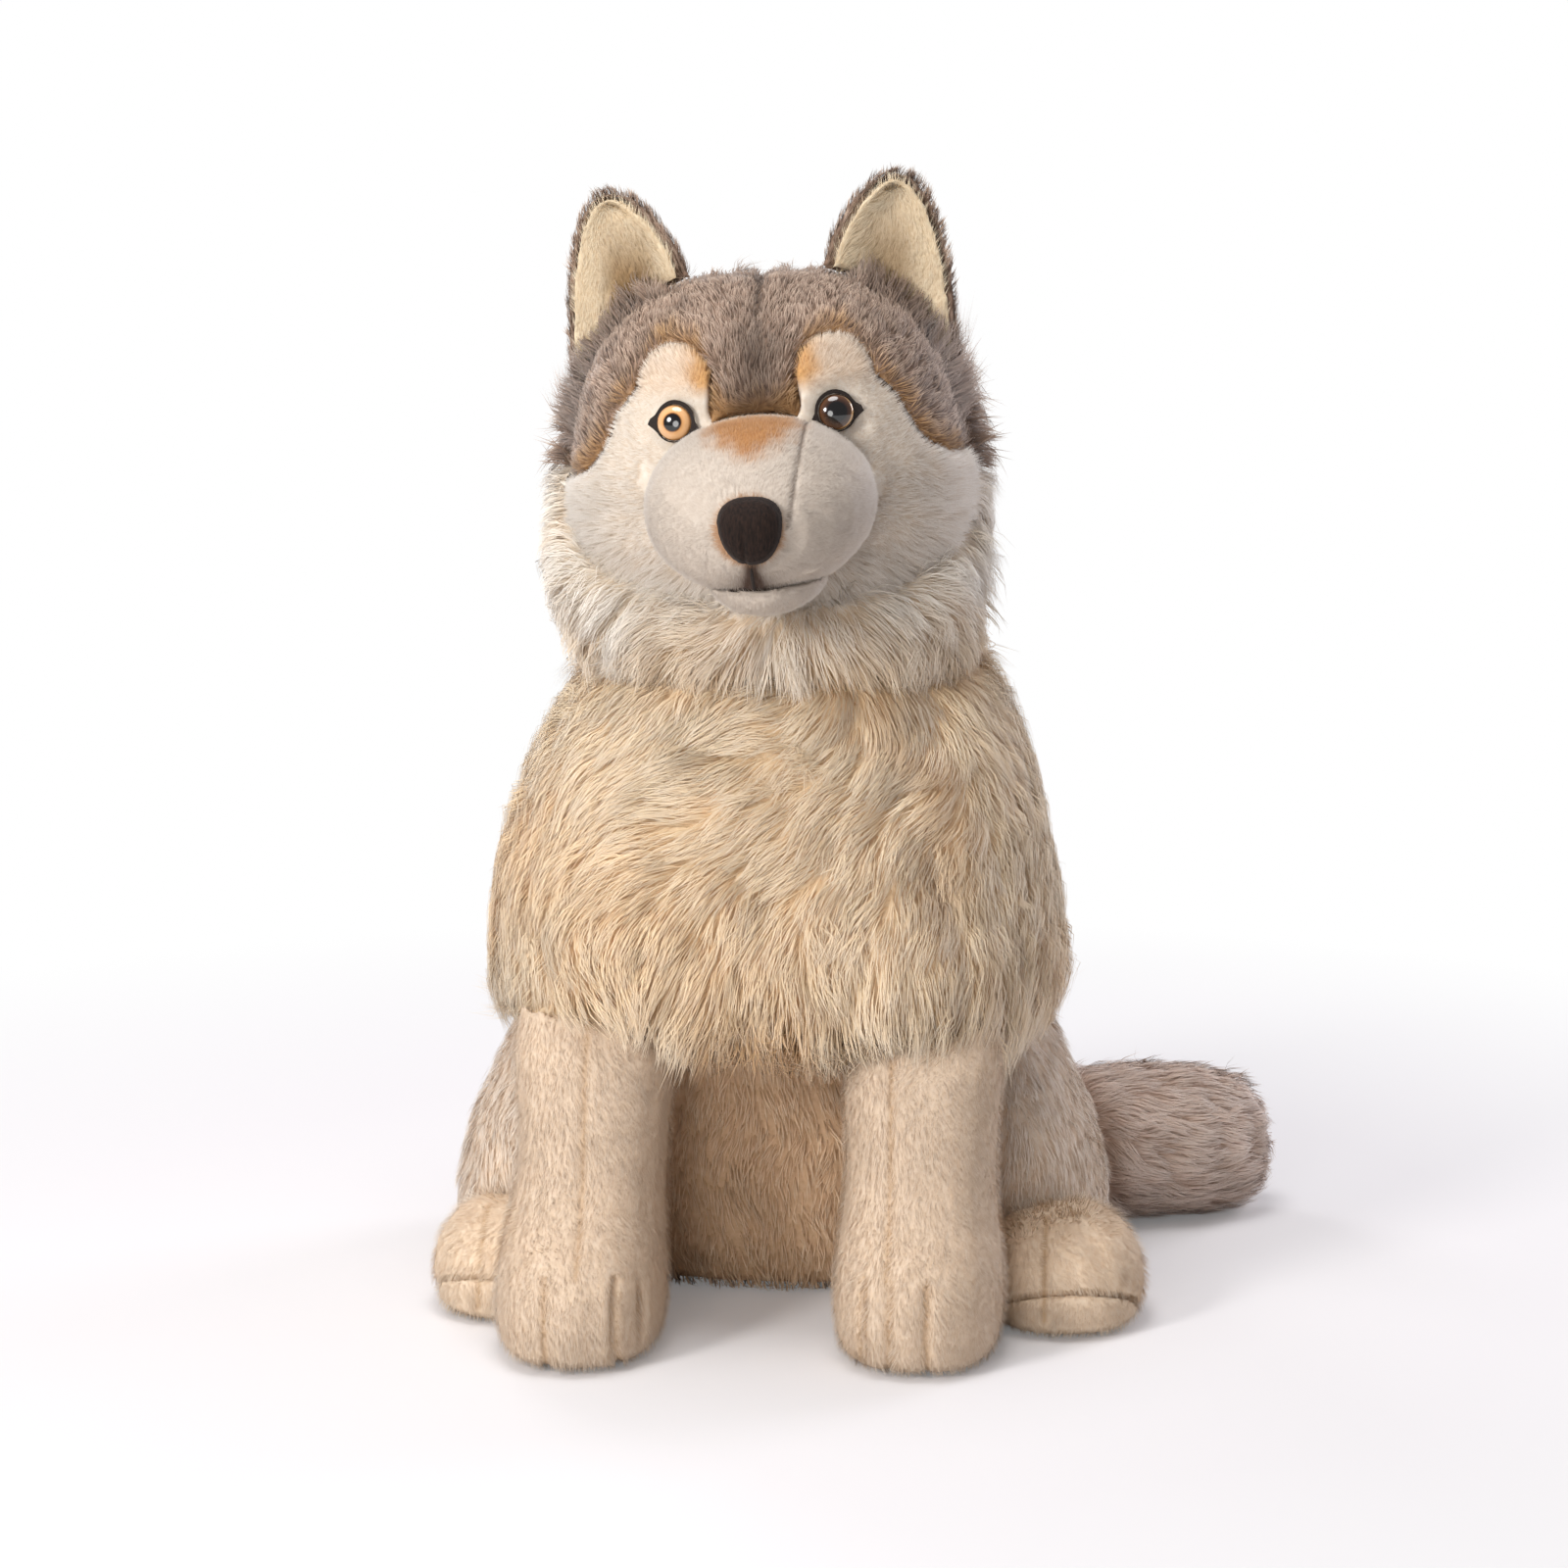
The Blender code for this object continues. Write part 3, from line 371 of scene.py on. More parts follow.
@dataclass(frozen=True)
class VelourFinish:
    """Dense knitted velour, black-brown: very short nap that drinks light, with vertical streaks."""

    name: str = "nose_velour"
    deep: str = "#120b08"
    high: str = "#32221b"

    def material(self) -> bpy.types.Material:
        """The material, streaked along the nap, with a pit between the tufts."""
        nodes = Nodes(bpy.data.materials.new(self.name))
        drawn = nodes.add("ShaderNodeMapping", i0=nodes.place(), Scale=(1.0, 1.0, 0.22))
        streak = nodes.noise(900.0, drawn.outputs[0], Detail=3.0, Roughness=0.6)
        return nodes.finish(
            nodes.ramp(streak, ((0.3, self.deep), (0.75, self.high))),
            Roughness=0.8,
            Specular_IOR_Level=0.2,
            Sheen_Weight=0.06,
            Normal=nodes.bump(streak, 0.8, 0.0005),
        )


@dataclass(frozen=True)
class FeltFinish:
    """Pressed wool felt, dark: matte and slightly fuzzy, no weave."""

    name: str = "dark_felt"
    deep: str = "#150e0b"
    high: str = "#2e211a"

    def material(self) -> bpy.types.Material:
        """The material, mottled at the size of felt's matted fibres."""
        nodes = Nodes(bpy.data.materials.new(self.name))
        mat = nodes.noise(1400.0, Detail=4.0)
        colour = nodes.ramp(mat, ((0.3, self.deep), (0.7, self.high)))
        return nodes.finish(colour, Roughness=0.85, Normal=nodes.bump(mat, 0.7, 0.0003))


@dataclass(frozen=True)
class NylonFinish:
    """Injection-moulded nylon, unpainted: a milky satin with faint flow marks."""

    name: str = "white_nylon"
    deep: str = "#d8d5cd"
    high: str = "#e4e2dc"

    def material(self) -> bpy.types.Material:
        """The material of the washer inside the head."""
        nodes = Nodes(bpy.data.materials.new(self.name))
        flow = nodes.noise(240.0, Detail=2.0)
        return nodes.finish(nodes.ramp(flow, ((0.2, self.deep), (0.8, self.high))), Roughness=0.4)


@dataclass(frozen=True)
class EyeFinish:
    """Clear acrylic over a printed iris: rings of colour deep under a hard, glassy surface."""

    name: str
    rings: tuple[tuple[float, str], ...]
    # A painted glint: how far its gold crescent is moved aside on the iris, and its colour
    painted_glint: tuple[float, float] = (0.0, 0.0)
    painted_glint_colour: str = "#dba868"

    def material(self) -> bpy.types.Material:
        """The material, which reads the eye's own map: its centre is the pupil's."""
        nodes = Nodes(bpy.data.materials.new(self.name))
        place = nodes.add("ShaderNodeUVMap", {"uv_map": "iris"}).outputs[0]
        centred = nodes.add("ShaderNodeVectorMath", {"operation": "SUBTRACT"}, i0=place, i1=(0.5, 0.5, 0.0))
        moved = centred.outputs[0]
        reach = nodes.length(moved)
        turned = nodes.add("ShaderNodeMapping", i0=moved, Scale=(40.0, 40.0, 1.0)).outputs[0]
        wobble = nodes.maths("MULTIPLY_ADD", nodes.noise(1.0, turned, Detail=2.0), 0.012, -0.006)
        iris = nodes.ramp(nodes.maths("MULTIPLY", nodes.maths("ADD", reach, wobble), 2.0), self.rings)
        # Painted glint: a gold crescent lit on one side of the iris
        if any(self.painted_glint):
            aside = nodes.add("ShaderNodeVectorMath", {"operation": "ADD"}, i0=moved, i1=(*self.painted_glint, 0.0))
            lit = nodes.span(nodes.length(aside.outputs[0]), 0.485, 0.525)
            rim = nodes.span(reach, 0.46, 0.485, 1.0, 0.0)
            iris = nodes.mix(nodes.maths("MULTIPLY", lit, rim), iris, (*linear(self.painted_glint_colour), 1.0))
        return nodes.finish(iris, Roughness=0.12, Coat_Weight=1.0, Coat_Roughness=0.03)


AMBER_RINGS = (
    (0.00, "#0b0807"),
    (0.46, "#0b0807"),
    (0.50, "#7c4d25"),
    (0.56, "#dfa56a"),
    (0.70, "#e8b681"),
    (0.84, "#e6b27c"),
    (0.92, "#c98f58"),
    (0.98, "#3a2414"),
)
DUSKY_RINGS = (
    (0.00, "#0b0807"),
    (0.52, "#0b0807"),
    (0.58, "#2a1810"),
    (0.74, "#4a2e1b"),
    (0.88, "#5e3c24"),
    (0.98, "#1e130c"),
)


# Cloth and pile


@dataclass(frozen=True)
class Cut:
    """How the pile of one cloth is cut: lengths in metres, and how its fibres gather in locks."""

    length: float
    width: float
    per_mm2: float
    steps: int
    inset: float
    lock: float = 0.008
    cling: float = 0.7
    tuft: float = 0.016
    bunch: float = 0.0
    puff: float = 0.0
    lift: float = 0.6
    droop: float = 0.25
    ragged: float = 0.18


LONG = Cut(0.023, 0.00046, 0.300, 2, 0.0085,
           lock=0.0045, cling=0.22, tuft=0.016, bunch=0.14, lift=0.72, droop=0.60, puff=0.34)
RUFF = Cut(0.022, 0.00042, 0.46, 2, 0.0070,
           lock=0.0045, cling=0.26, tuft=0.015, bunch=0.24, lift=0.70, droop=0.50, puff=0.42)
BRUSH = Cut(0.016, 0.00044, 0.47, 2, 0.0055,
            lock=0.0042, cling=0.26, tuft=0.011, bunch=0.18, lift=0.55, droop=0.35, puff=0.32)
TUFT = Cut(0.016, 0.00046, 0.32, 2, 0.0050,
           lock=0.0045, cling=0.30, tuft=0.013, bunch=0.26, lift=0.60, droop=0.30, puff=0.38)
CAP = Cut(0.0085, 0.00038, 0.58, 2, 0.0035,
          lock=0.0026, cling=0.18, tuft=0.007, bunch=0.10, lift=0.50, droop=0.15, puff=0.18)
SOFT = Cut(0.0120, 0.00050, 0.20, 2, 0.0045,
           lock=0.0036, cling=0.22, tuft=0.010, bunch=0.12, lift=0.50, droop=0.20, puff=0.25)
FACE = Cut(0.0060, 0.00035, 1.22, 1, 0.0022, lock=0.0030, cling=0.08, lift=0.45, droop=0.0)
VELOUR = Cut(0.0030, 0.00030, 1.22, 1, 0.0012, lock=0.0030, cling=0.05, lift=0.60, droop=0.0)
SHORT = Cut(0.0056, 0.00040, 0.60, 1, 0.0022, lock=0.0040, cling=0.08, lift=0.65, droop=0.0)

PARTING_HEIGHT = (0.24, 0.27, 0.30, 0.32, 0.35, 0.365)
PARTING_X = (0.095, 0.100, 0.092, 0.066, 0.052, 0.045)


def parting_x(height: np.ndarray) -> np.ndarray:
    """Where the mane's pile parts, at each height: a slanting valley on the wolf's left."""
    return np.interp(height, PARTING_HEIGHT, PARTING_X)


@dataclass(frozen=True)
class Groom:
    """Which way a pile is brushed."""

    flow: tuple[float, float, float] = (0.0, 0.0, -1.0)
    away_from: Optional[tuple[float, float, float]] = None
    swirl: float = 0.25
    swirl_size: float = 0.09
    parting: float = 0.0
    fan: float = 0.0
    fall: float = 0.0

    def direction(self, points: np.ndarray, seed: int) -> np.ndarray:
        """The brushed direction at each place.

        Args:
            points: roots, one a row.
            seed: picks the swirls.

        Returns:
            One direction for each root, of length about one.
        """
        flow = np.tile(np.array(self.flow, float), (len(points), 1))
        if self.away_from is not None:
            flow = flow + unit(points - np.array(self.away_from))
        if self.parting:
            high = smooth(0.19, 0.28, points[:, 2])
            flow[:, 0] += self.parting * np.tanh((points[:, 0] - parting_x(points[:, 2])) / 0.035) * high
        flow[:, 0] += self.fan * np.tanh(points[:, 0] / 0.03)
        flow[:, 2] -= self.fall * smooth(-0.045, 0.005, points[:, 1])
        return unit(flow) + self.swirl * ripple_field(points, self.swirl_size, seed)


@dataclass(frozen=True)
class Seam:
    """A sewn line where a panel meets another: the pile parts, the cloth sinks and painted shade darkens it
    there.

    The line is where the plane through point with this normal crosses the panel, inside a box.
    """

    point: tuple[float, float, float]
    normal: tuple[float, float, float]
    low: tuple[float, float, float] = (-1.0, -1.0, -1.0)
    high: tuple[float, float, float] = (1.0, 1.0, 1.0)
    depth: float = 0.0016
    reach: float = 0.0022

    def nearness(self, points: np.ndarray) -> np.ndarray:
        """1 on the seam and 0 away from it, for each place."""
        normal = np.array(self.normal, float)
        normal /= np.linalg.norm(normal)
        off = np.abs((points - np.array(self.point)) @ normal)
        inside = np.all((points > np.array(self.low)) & (points < np.array(self.high)), axis=1)
        return np.exp(-((off / self.reach) ** 2)) * inside


Mark = Callable[[np.ndarray], np.ndarray]


class Workshop:
    """The solids as trees that can be asked what is near, and small jobs that every piece needs."""

    def __init__(self) -> None:
        """Reads each solid of the frame."""
        self.trees: dict[str, BVHTree] = {}
        self.boxes: dict[str, tuple[np.ndarray, np.ndarray]] = {}
        for name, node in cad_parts.items():
            points = [v.co.copy() for v in node.data.vertices]
            faces = [tuple(p.vertices) for p in node.data.polygons]
            self.trees[name] = BVHTree.FromPolygons(points, faces)
            low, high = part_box(name)
            self.boxes[name] = (np.array(low), np.array(high))

    def neighbours(self, name: str, reach: float) -> list[str]:
        """The other solids whose boxes come within reach of this one's."""
        low, high = self.boxes[name]
        found = []
        for other, (low_2, high_2) in self.boxes.items():
            if other != name and np.all(low_2 < high + reach) and np.all(high_2 > low - reach):
                found.append(other)
        return found

    def depth_in(self, name: str, points: np.ndarray, most: float) -> np.ndarray:
        """How deep each place is inside one solid, in metres; below zero outside, down to -most."""
        low, high = self.boxes[name]
        depth = np.full(len(points), -most)
        near = np.nonzero(np.all((points > low - most) & (points < high + most), axis=1))[0]
        tree = self.trees[name]
        for index in near:
            place = Vector(points[index])
            spot, normal, _, distance = tree.find_nearest(place)
            if spot is not None:
                side = 1.0 if (place - spot).dot(normal) < 0 else -1.0
                depth[index] = max(-most, side * distance)
        return depth

    def covered(self, name: str, points: np.ndarray, reach: float) -> np.ndarray:
        """Whether each place lies in a neighbour of this solid."""
        hidden = np.zeros(len(points), bool)
        for other in self.neighbours(name, reach):
            if not other.startswith(("eye_washer", "mouth")):
                hidden |= self.depth_in(other, points, reach) > 0
        return hidden

    @staticmethod
    def choose(piece: bpy.types.Object) -> None:
        """Deselects everything else and makes this piece the active one."""
        if bpy.context.mode != "OBJECT":
            bpy.ops.object.mode_set(mode="OBJECT")
        bpy.ops.object.select_all(action="DESELECT")
        piece.select_set(True)
        bpy.context.view_layer.objects.active = piece

    @staticmethod
    def apply_all(piece: bpy.types.Object) -> None:
        """Applies every modifier of the piece, in order."""
        Workshop.choose(piece)
        for modifier in list(piece.modifiers):
            bpy.ops.object.modifier_apply(modifier=modifier.name)

    @staticmethod
    def copy_of(node: str, ending: str, voxel: float, rounds: int) -> bpy.types.Object:
        """A copy of a solid with an even, relaxed mesh and no material.

        Args:
            node: the solid's name.
            ending: what the copy's name adds to it.
            voxel: size of the new mesh's faces, in metres.
            rounds: how often the mesh is relaxed.

        Returns:
            The copy.
        """
        piece = bpy.data.objects.new(node + ending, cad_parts[node].data.copy())
        piece.data.materials.clear()
        bpy.context.scene.collection.objects.link(piece)
        Workshop.choose(piece)
        bpy.ops.object.mode_set(mode="EDIT")
        bpy.ops.mesh.select_all(action="SELECT")
        bpy.ops.mesh.remove_doubles(threshold=SAME_VERTEX)
        bpy.ops.object.mode_set(mode="OBJECT")
        remesh = piece.modifiers.new("even_mesh", "REMESH")
        remesh.mode = "VOXEL"
        remesh.voxel_size = voxel
        remesh.use_smooth_shade = True
        relax = piece.modifiers.new("relax", "SMOOTH")
        relax.factor = 0.5
        relax.iterations = rounds
        Workshop.apply_all(piece)
        return piece

    @staticmethod
    def triangles_of(piece: bpy.types.Object) -> int:
        """How many triangles the piece has."""
        piece.data.calc_loop_triangles()
        return len(piece.data.loop_triangles)

    @staticmethod
    def points_of(piece: bpy.types.Object) -> np.ndarray:
        """The piece's vertices, one a row."""
        flat = np.empty(len(piece.data.vertices) * 3, np.float32)
        piece.data.vertices.foreach_get("co", flat)
        return flat.reshape(-1, 3).astype(float)

    @staticmethod
    def normals_of(piece: bpy.types.Object) -> np.ndarray:
        """The normals at the piece's vertices, one a row."""
        flat = np.empty(len(piece.data.vertices) * 3, np.float32)
        piece.data.vertex_normals.foreach_get("vector", flat)
        return flat.reshape(-1, 3).astype(float)

    @staticmethod
    def set_points(piece: bpy.types.Object, points: np.ndarray) -> None:
        """Moves the piece's vertices to these places."""
        piece.data.vertices.foreach_set("co", points.astype(np.float32).ravel())
        piece.data.update()

    @staticmethod
    def write(piece: bpy.types.Object, name: str, values: np.ndarray) -> None:
        """Keeps one number for each vertex under this name."""
        layer = piece.data.attributes.get(name) or piece.data.attributes.new(name, "FLOAT", "POINT")
        layer.data.foreach_set("value", values.astype(np.float32))


@dataclass
class Panel:
    """One sewn and stuffed panel: its cloth, and the pile that stands on it."""

    node: str
    slot: str
    finish: PileFinish
    cut: Cut
    groom: Groom
    voxel: float = 0.0042
    mark: Optional[Mark] = None
    seams: tuple[Seam, ...] = ()
    fill: float = 0.8
    trim: Optional[Mark] = None
    # Dark marks, and painted shade in creases, valleys and hems, for each place
    dark_marks_and_shade: Optional[Mark] = None
    probe: float = 0.004
    rim_rounds: int = 4
    relax: int = 3
    facing: Optional[tuple[float, float, float]] = None
    stand: Optional[Mark] = None
    seed: int = 1
    shop: Optional[Workshop] = field(default=None, repr=False)

    def build(self, shop: Workshop) -> int:
        """Makes the cloth and its pile, and puts them in place of the solid.

        Args:
            shop: the workshop with the solids.

        Returns:
            How many triangles were made.
        """
        self.shop = shop
        cloth, open_to_air = self.make_cloth()
        pile = self.make_pile(cloth, open_to_air)
        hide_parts(self.node)
        for piece in (cloth, pile):
            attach(piece, "root")
        made = Workshop.triangles_of(cloth) + Workshop.triangles_of(pile)
        log.info("%s: %d triangles", self.node, made)
        return made

    def nearness(self, points: np.ndarray) -> np.ndarray:
        """How near a seam each place is, from 0 to 1."""
        near = np.zeros(len(points))
        for seam in self.seams:
            near = np.maximum(near, seam.nearness(points))
        return near

    def shade_at(self, points: np.ndarray) -> np.ndarray:
        """How far each place has the shade colour: painted shade near a seam, and the panel's dark marks
        and painted shade in creases.
        """
        shade = SEAM_SHADE * self.nearness(points)
        return np.maximum(shade, self.dark_marks_and_shade(points)) if self.dark_marks_and_shade else shade

    def make_cloth(self) -> tuple[bpy.types.Object, np.ndarray]:
        """The panel's cloth, a pile's depth under the solid's face wherever it is open to the air.

        Returns:
            The cloth, and for each of its vertices how open it is, from 0 to 1.
        """
        cloth = Workshop.copy_of(self.node, "_cloth", self.voxel, self.relax)
        points, normals = Workshop.points_of(cloth), Workshop.normals_of(cloth)
        closed = self.shop.covered(self.node, points + normals * self.probe, self.probe + 0.002)
        seen = 1.0 - closed.astype(float)
        open_to_air = self.spread(cloth, seen, self.rim_rounds)
        inwards = [self.spread(cloth, seen * normals[:, i], self.rim_rounds) for i in range(3)]
        sunk = self.cut.inset * smooth(0.03, 0.30, open_to_air)
        for seam in self.seams:
            sunk = sunk + seam.depth * seam.nearness(points) * smooth(0.5, 0.9, open_to_air)
        moved = points - unit(np.stack(inwards, axis=1)) * sunk[:, None]
        moved[:, 2] = np.maximum(moved[:, 2], LOWEST_CLOTH)
        Workshop.set_points(cloth, moved)
        Workshop.write(cloth, PILE_MARK, self.mark(points) if self.mark else np.zeros(len(points)))
        Workshop.write(cloth, PILE_TONE, 0.4 * ripple(points, 0.03, self.seed))
        Workshop.write(cloth, PILE_SHADE, self.shade_at(points))
        cloth.data.materials.append(self.finish.backing(1.6))
        return cloth, open_to_air

    @staticmethod
    def spread(cloth: bpy.types.Object, values: np.ndarray, rounds: int) -> np.ndarray:
        """Averages a value with its neighbours along the edges, a few times over."""
        ends = np.empty(len(cloth.data.edges) * 2, np.int32)
        cloth.data.edges.foreach_get("vertices", ends)
        ends = ends.reshape(-1, 2)
        for _ in range(rounds):
            total, count = values.copy(), np.ones(len(values))
            for a, b in ((0, 1), (1, 0)):
                np.add.at(total, ends[:, a], values[ends[:, b]])
                np.add.at(count, ends[:, a], 1)
            values = total / count
        return values

    def roots(self, cloth: bpy.types.Object, open_to_air: np.ndarray) -> tuple[np.ndarray, np.ndarray]:
        """Scatters the fibres' roots over the open cloth.

        Args:
            cloth: the panel's cloth.
            open_to_air: how open each of its vertices is.

        Returns:
            Roots and the cloth's normals there, one a row, in order over the cloth.
        """
        rng = np.random.default_rng(self.seed)
        mesh = cloth.data
        mesh.calc_loop_triangles()
        corners = np.empty(len(mesh.loop_triangles) * 3, np.int32)
        mesh.loop_triangles.foreach_get("vertices", corners)
        corners = corners.reshape(-1, 3)
        points, normals = Workshop.points_of(cloth), Workshop.normals_of(cloth)
        a, b, c = (points[corners[:, i]] for i in range(3))
        area = np.linalg.norm(np.cross(b - a, c - a), axis=1) / 2
        shown = smooth(0.08, 0.32, open_to_air[corners].mean(axis=1))
        upward = np.where((a[:, 2] < 0.002) & (b[:, 2] < 0.002), 0.0, 1.0)
        weight = area * shown * upward
        density = self.cut.per_mm2 * PILE_SHARE
        count = int(weight.sum() * 1e6 * density)
        picked = np.sort(rng.choice(len(corners), size=count, p=weight / weight.sum()))
        u, v = rng.random(count), rng.random(count)
        over = u + v > 1
        u[over], v[over] = 1 - u[over], 1 - v[over]
        share = np.stack([1 - u - v, u, v], axis=1)
        place = (points[corners[picked]] * share[:, :, None]).sum(axis=1)
        facing = unit((normals[corners[picked]] * share[:, :, None]).sum(axis=1))
        cell = np.floor(place / 0.012).astype(int)
        order = np.lexsort((cell[:, 0], cell[:, 1], cell[:, 2]))
        return place[order], facing[order]

    def locks(self, roots: np.ndarray, size: float, rng: np.random.Generator) -> np.ndarray:
        """The fibre that leads the lock each fibre belongs to.

        Args:
            roots: the fibres' roots.
            size: width of a lock, in metres.
            rng: the panel's random numbers.

        Returns:
            The number of its leader, for each fibre.
        """
        area = len(roots) / (self.cut.per_mm2 * PILE_SHARE) * 1e-6
        count = max(8, int(area / size**2))
        leaders = rng.choice(len(roots), size=min(count, len(roots)), replace=False)
        tree = KDTree(len(leaders))
        for index in leaders:
            tree.insert(roots[index], int(index))
        tree.balance()
        return np.array([tree.find(root)[1] for root in roots])

    def make_pile(self, cloth: bpy.types.Object, open_to_air: np.ndarray) -> bpy.types.Object:
        """Stands the fibres on the cloth, brushed and gathered into locks.

        Args:
            cloth: the panel's cloth.
            open_to_air: how open each of its vertices is.

        Returns:
            One mesh of thin tapered blades.
        """
        cut = self.cut
        rng = np.random.default_rng(self.seed + 7)
        roots, normals = self.roots(cloth, open_to_air)
        count = len(roots)
        leader = self.locks(roots, cut.lock, rng)
        tuft = self.locks(roots, cut.tuft, rng)
        brushed = self.groom.direction(roots, self.seed)
        sway = 0.17 * rng.normal(size=(count, 3))[tuft] + 0.10 * rng.normal(size=(count, 3))[leader]
        brushed = brushed + sway + 0.08 * rng.normal(size=(count, 3))
        along = brushed - (brushed * normals).sum(axis=1, keepdims=True) * normals
        strength = np.linalg.norm(along, axis=1, keepdims=True)
        along = along / np.maximum(strength, 1e-6) * np.minimum(strength, 1.0)
        length = cut.length * (1 + cut.ragged * rng.uniform(-1, 1, count))
        length *= 1 + 0.10 * rng.uniform(-1, 1, count)[leader] + 0.12 * rng.uniform(-1, 1, count)[tuft]
        length *= 1 - 0.55 * self.nearness(roots)
        if self.trim:
            length *= self.trim(roots)
        rise_steps = np.linspace(0, 1, cut.steps + 1)
        across = unit(np.cross(along + 0.001, normals))
        rng.random(count)  # Draws that aren't used: they keep those after them as they are
        path = np.zeros((count, cut.steps + 1, 3))
        step = (length / cut.steps)[:, None]
        lift = cut.lift * (1 + 0.22 * rng.uniform(-1, 1, count)[:, None])
        if self.stand:
            lift = lift + self.stand(roots)[:, None]
        for i in range(cut.steps):
            t = (i + 0.5) / cut.steps
            heading = along + normals * lift
            if cut.steps > 1:
                heading = along + normals * lift * (1 - t * (1 + cut.droop)) + normals * 0.02
            path[:, i + 1] = path[:, i] + unit(heading) * step
        offset = cut.cling * (roots - roots[leader]) + cut.bunch * (roots - roots[tuft])
        offset = offset - (offset * normals).sum(axis=1, keepdims=True) * normals
        path = roots[:, None, :] + path - offset[:, None, :] * (rise_steps**1.3)[None, :, None]
        path[:, :, 2] = np.maximum(path[:, :, 2], LOWEST_FIBRE)
        tone = 0.22 * rng.normal(size=count)[tuft] + 0.18 * rng.normal(size=count)[leader]
        tone = tone + 0.20 * rng.normal(size=count)
        tone = np.clip(tone + 0.35 * ripple(roots, 0.05, self.seed + 3), -1, 1)
        mark = np.clip(self.mark(roots), 0, 1) if self.mark else np.zeros(count)
        aside = (roots - roots[tuft]) / (0.5 * cut.tuft)
        shading = unit(normals + cut.puff * aside)
        if self.facing:
            shading = unit(0.35 * shading + 0.65 * np.array(self.facing))
        # Painted shade: each fibre darker towards the edge of its tuft, where the tufts meet
        tone = tone - 0.5 * cut.puff * np.clip((aside**2).sum(axis=1) - 0.5, -0.5, 1.5)
        return self.weave(path, normals, shading, across, rise_steps, tone, mark, self.shade_at(roots), rng)

    def weave(
        self,
        path: np.ndarray,
        normals: np.ndarray,
        shading: np.ndarray,
        across: np.ndarray,
        rise_steps: np.ndarray,
        tone: np.ndarray,
        mark: np.ndarray,
        shade: np.ndarray,
        rng: np.random.Generator,
    ) -> bpy.types.Object:
        """Turns the fibres' paths into blades.

        Args:
            path: each fibre's points from root to tip.
            normals: the cloth's normal under each fibre.
            shading: the normal of the tuft's rounded outside, for each fibre.
            across: sideways, for each fibre.
            rise_steps: the share of the height at each of a path's points.
            tone: lighter or darker, for each fibre.
            mark: how far each fibre has the second dye.
            shade: how far each fibre has the shaded colour.
            rng: the panel's random numbers.

        Returns:
            The mesh object.
        """
        count, levels = path.shape[0], path.shape[1]
        turn = rng.uniform(-0.4, 0.4, count)[:, None]
        side = unit(across * np.cos(turn) + normals * np.sin(turn))
        width = self.cut.width * rng.uniform(0.7, 1.25, count)[:, None]
        taper = (0.9, 1.0)
        rows, rise = [], []
        for level in range(levels - 1):
            half = side * width * taper[level] / 2
            rows += [path[:, level] - half, path[:, level] + half]
            rise += [rise_steps[level]] * 2
        rows.append(path[:, -1])
        rise.append(1.0)
        points = np.stack(rows, axis=1)
        each = points.shape[1]
        faces = []
        for level in range(levels - 2):
            k = 2 * level
            faces += [(k, k + 1, k + 3), (k, k + 3, k + 2)]
        faces.append((each - 3, each - 2, each - 1))
        faces = np.array(faces)
        # Each blade's face looks away from the cloth
        first = points[:, faces[0]]
        looks = np.cross(first[:, 1] - first[:, 0], first[:, 2] - first[:, 0])
        flip = (looks * normals).sum(axis=1) < 0
        index = faces[None] + (np.arange(count) * each)[:, None, None]
        index[flip] = index[flip][:, :, ::-1]
        looks = unit(np.where(flip[:, None], -looks, looks))
        points = points.reshape(-1, 3)
        points[:, 2] = np.maximum(points[:, 2], LOWEST_BLADE)
        mesh = bpy.data.meshes.new(self.node + "_pile")
        mesh.vertices.add(len(points))
        mesh.vertices.foreach_set("co", points.astype(np.float32).ravel())
        corners = index.reshape(-1).astype(np.int32)
        mesh.loops.add(len(corners))
        mesh.loops.foreach_set("vertex_index", corners)
        mesh.polygons.add(len(corners) // 3)
        mesh.polygons.foreach_set("loop_start", np.arange(0, len(corners), 3, dtype=np.int32))
        mesh.update(calc_edges=True)
        pile = bpy.data.objects.new(self.node + "_pile", mesh)
        bpy.context.scene.collection.objects.link(pile)
        self.lay_map(mesh, corners, count, each, np.array(rise))
        for name, values in ((PILE_TONE, tone), (PILE_MARK, mark), (PILE_SHADE, shade)):
            Workshop.write(pile, name, np.repeat(values, each))
        Workshop.write(pile, PILE_RISE, np.tile(np.array(rise), count))
        soft = unit(0.94 * shading + 0.06 * looks)
        mesh.polygons.foreach_set("use_smooth", np.ones(len(mesh.polygons), bool))
        mesh.normals_split_custom_set_from_vertices(np.repeat(soft, each, axis=0))
        mesh.materials.append(self.finish.pile())
        return pile

    @staticmethod
    def lay_map(mesh: bpy.types.Mesh, corners: np.ndarray, count: int, each: int, rise: np.ndarray) -> None:
        """Gives every blade a small cell of its own on the piece's map, root at the bottom.

        Args:
            mesh: the pile's mesh.
            corners: the vertex at each corner.
            count: how many blades there are.
            each: vertices in a blade.
            rise: height of each of a blade's vertices, from 0 to 1.
        """
        across = math.ceil(math.sqrt(count))
        blade, part = corners // each, corners % each
        side = np.where(part == each - 1, 0.5, np.where(part % 2 == 0, 0.2, 0.8))
        u = (blade % across + side) / across
        v = (blade // across + 0.1 + 0.8 * rise[part]) / across
        layer = mesh.uv_layers.new(name=BAKE_MAP)
        layer.uv.foreach_set("vector", np.stack([u, v], axis=1).astype(np.float32).ravel())


# Marks and trims, as numbers over space

EYE_X = 0.041
EYE_Z = 0.0318


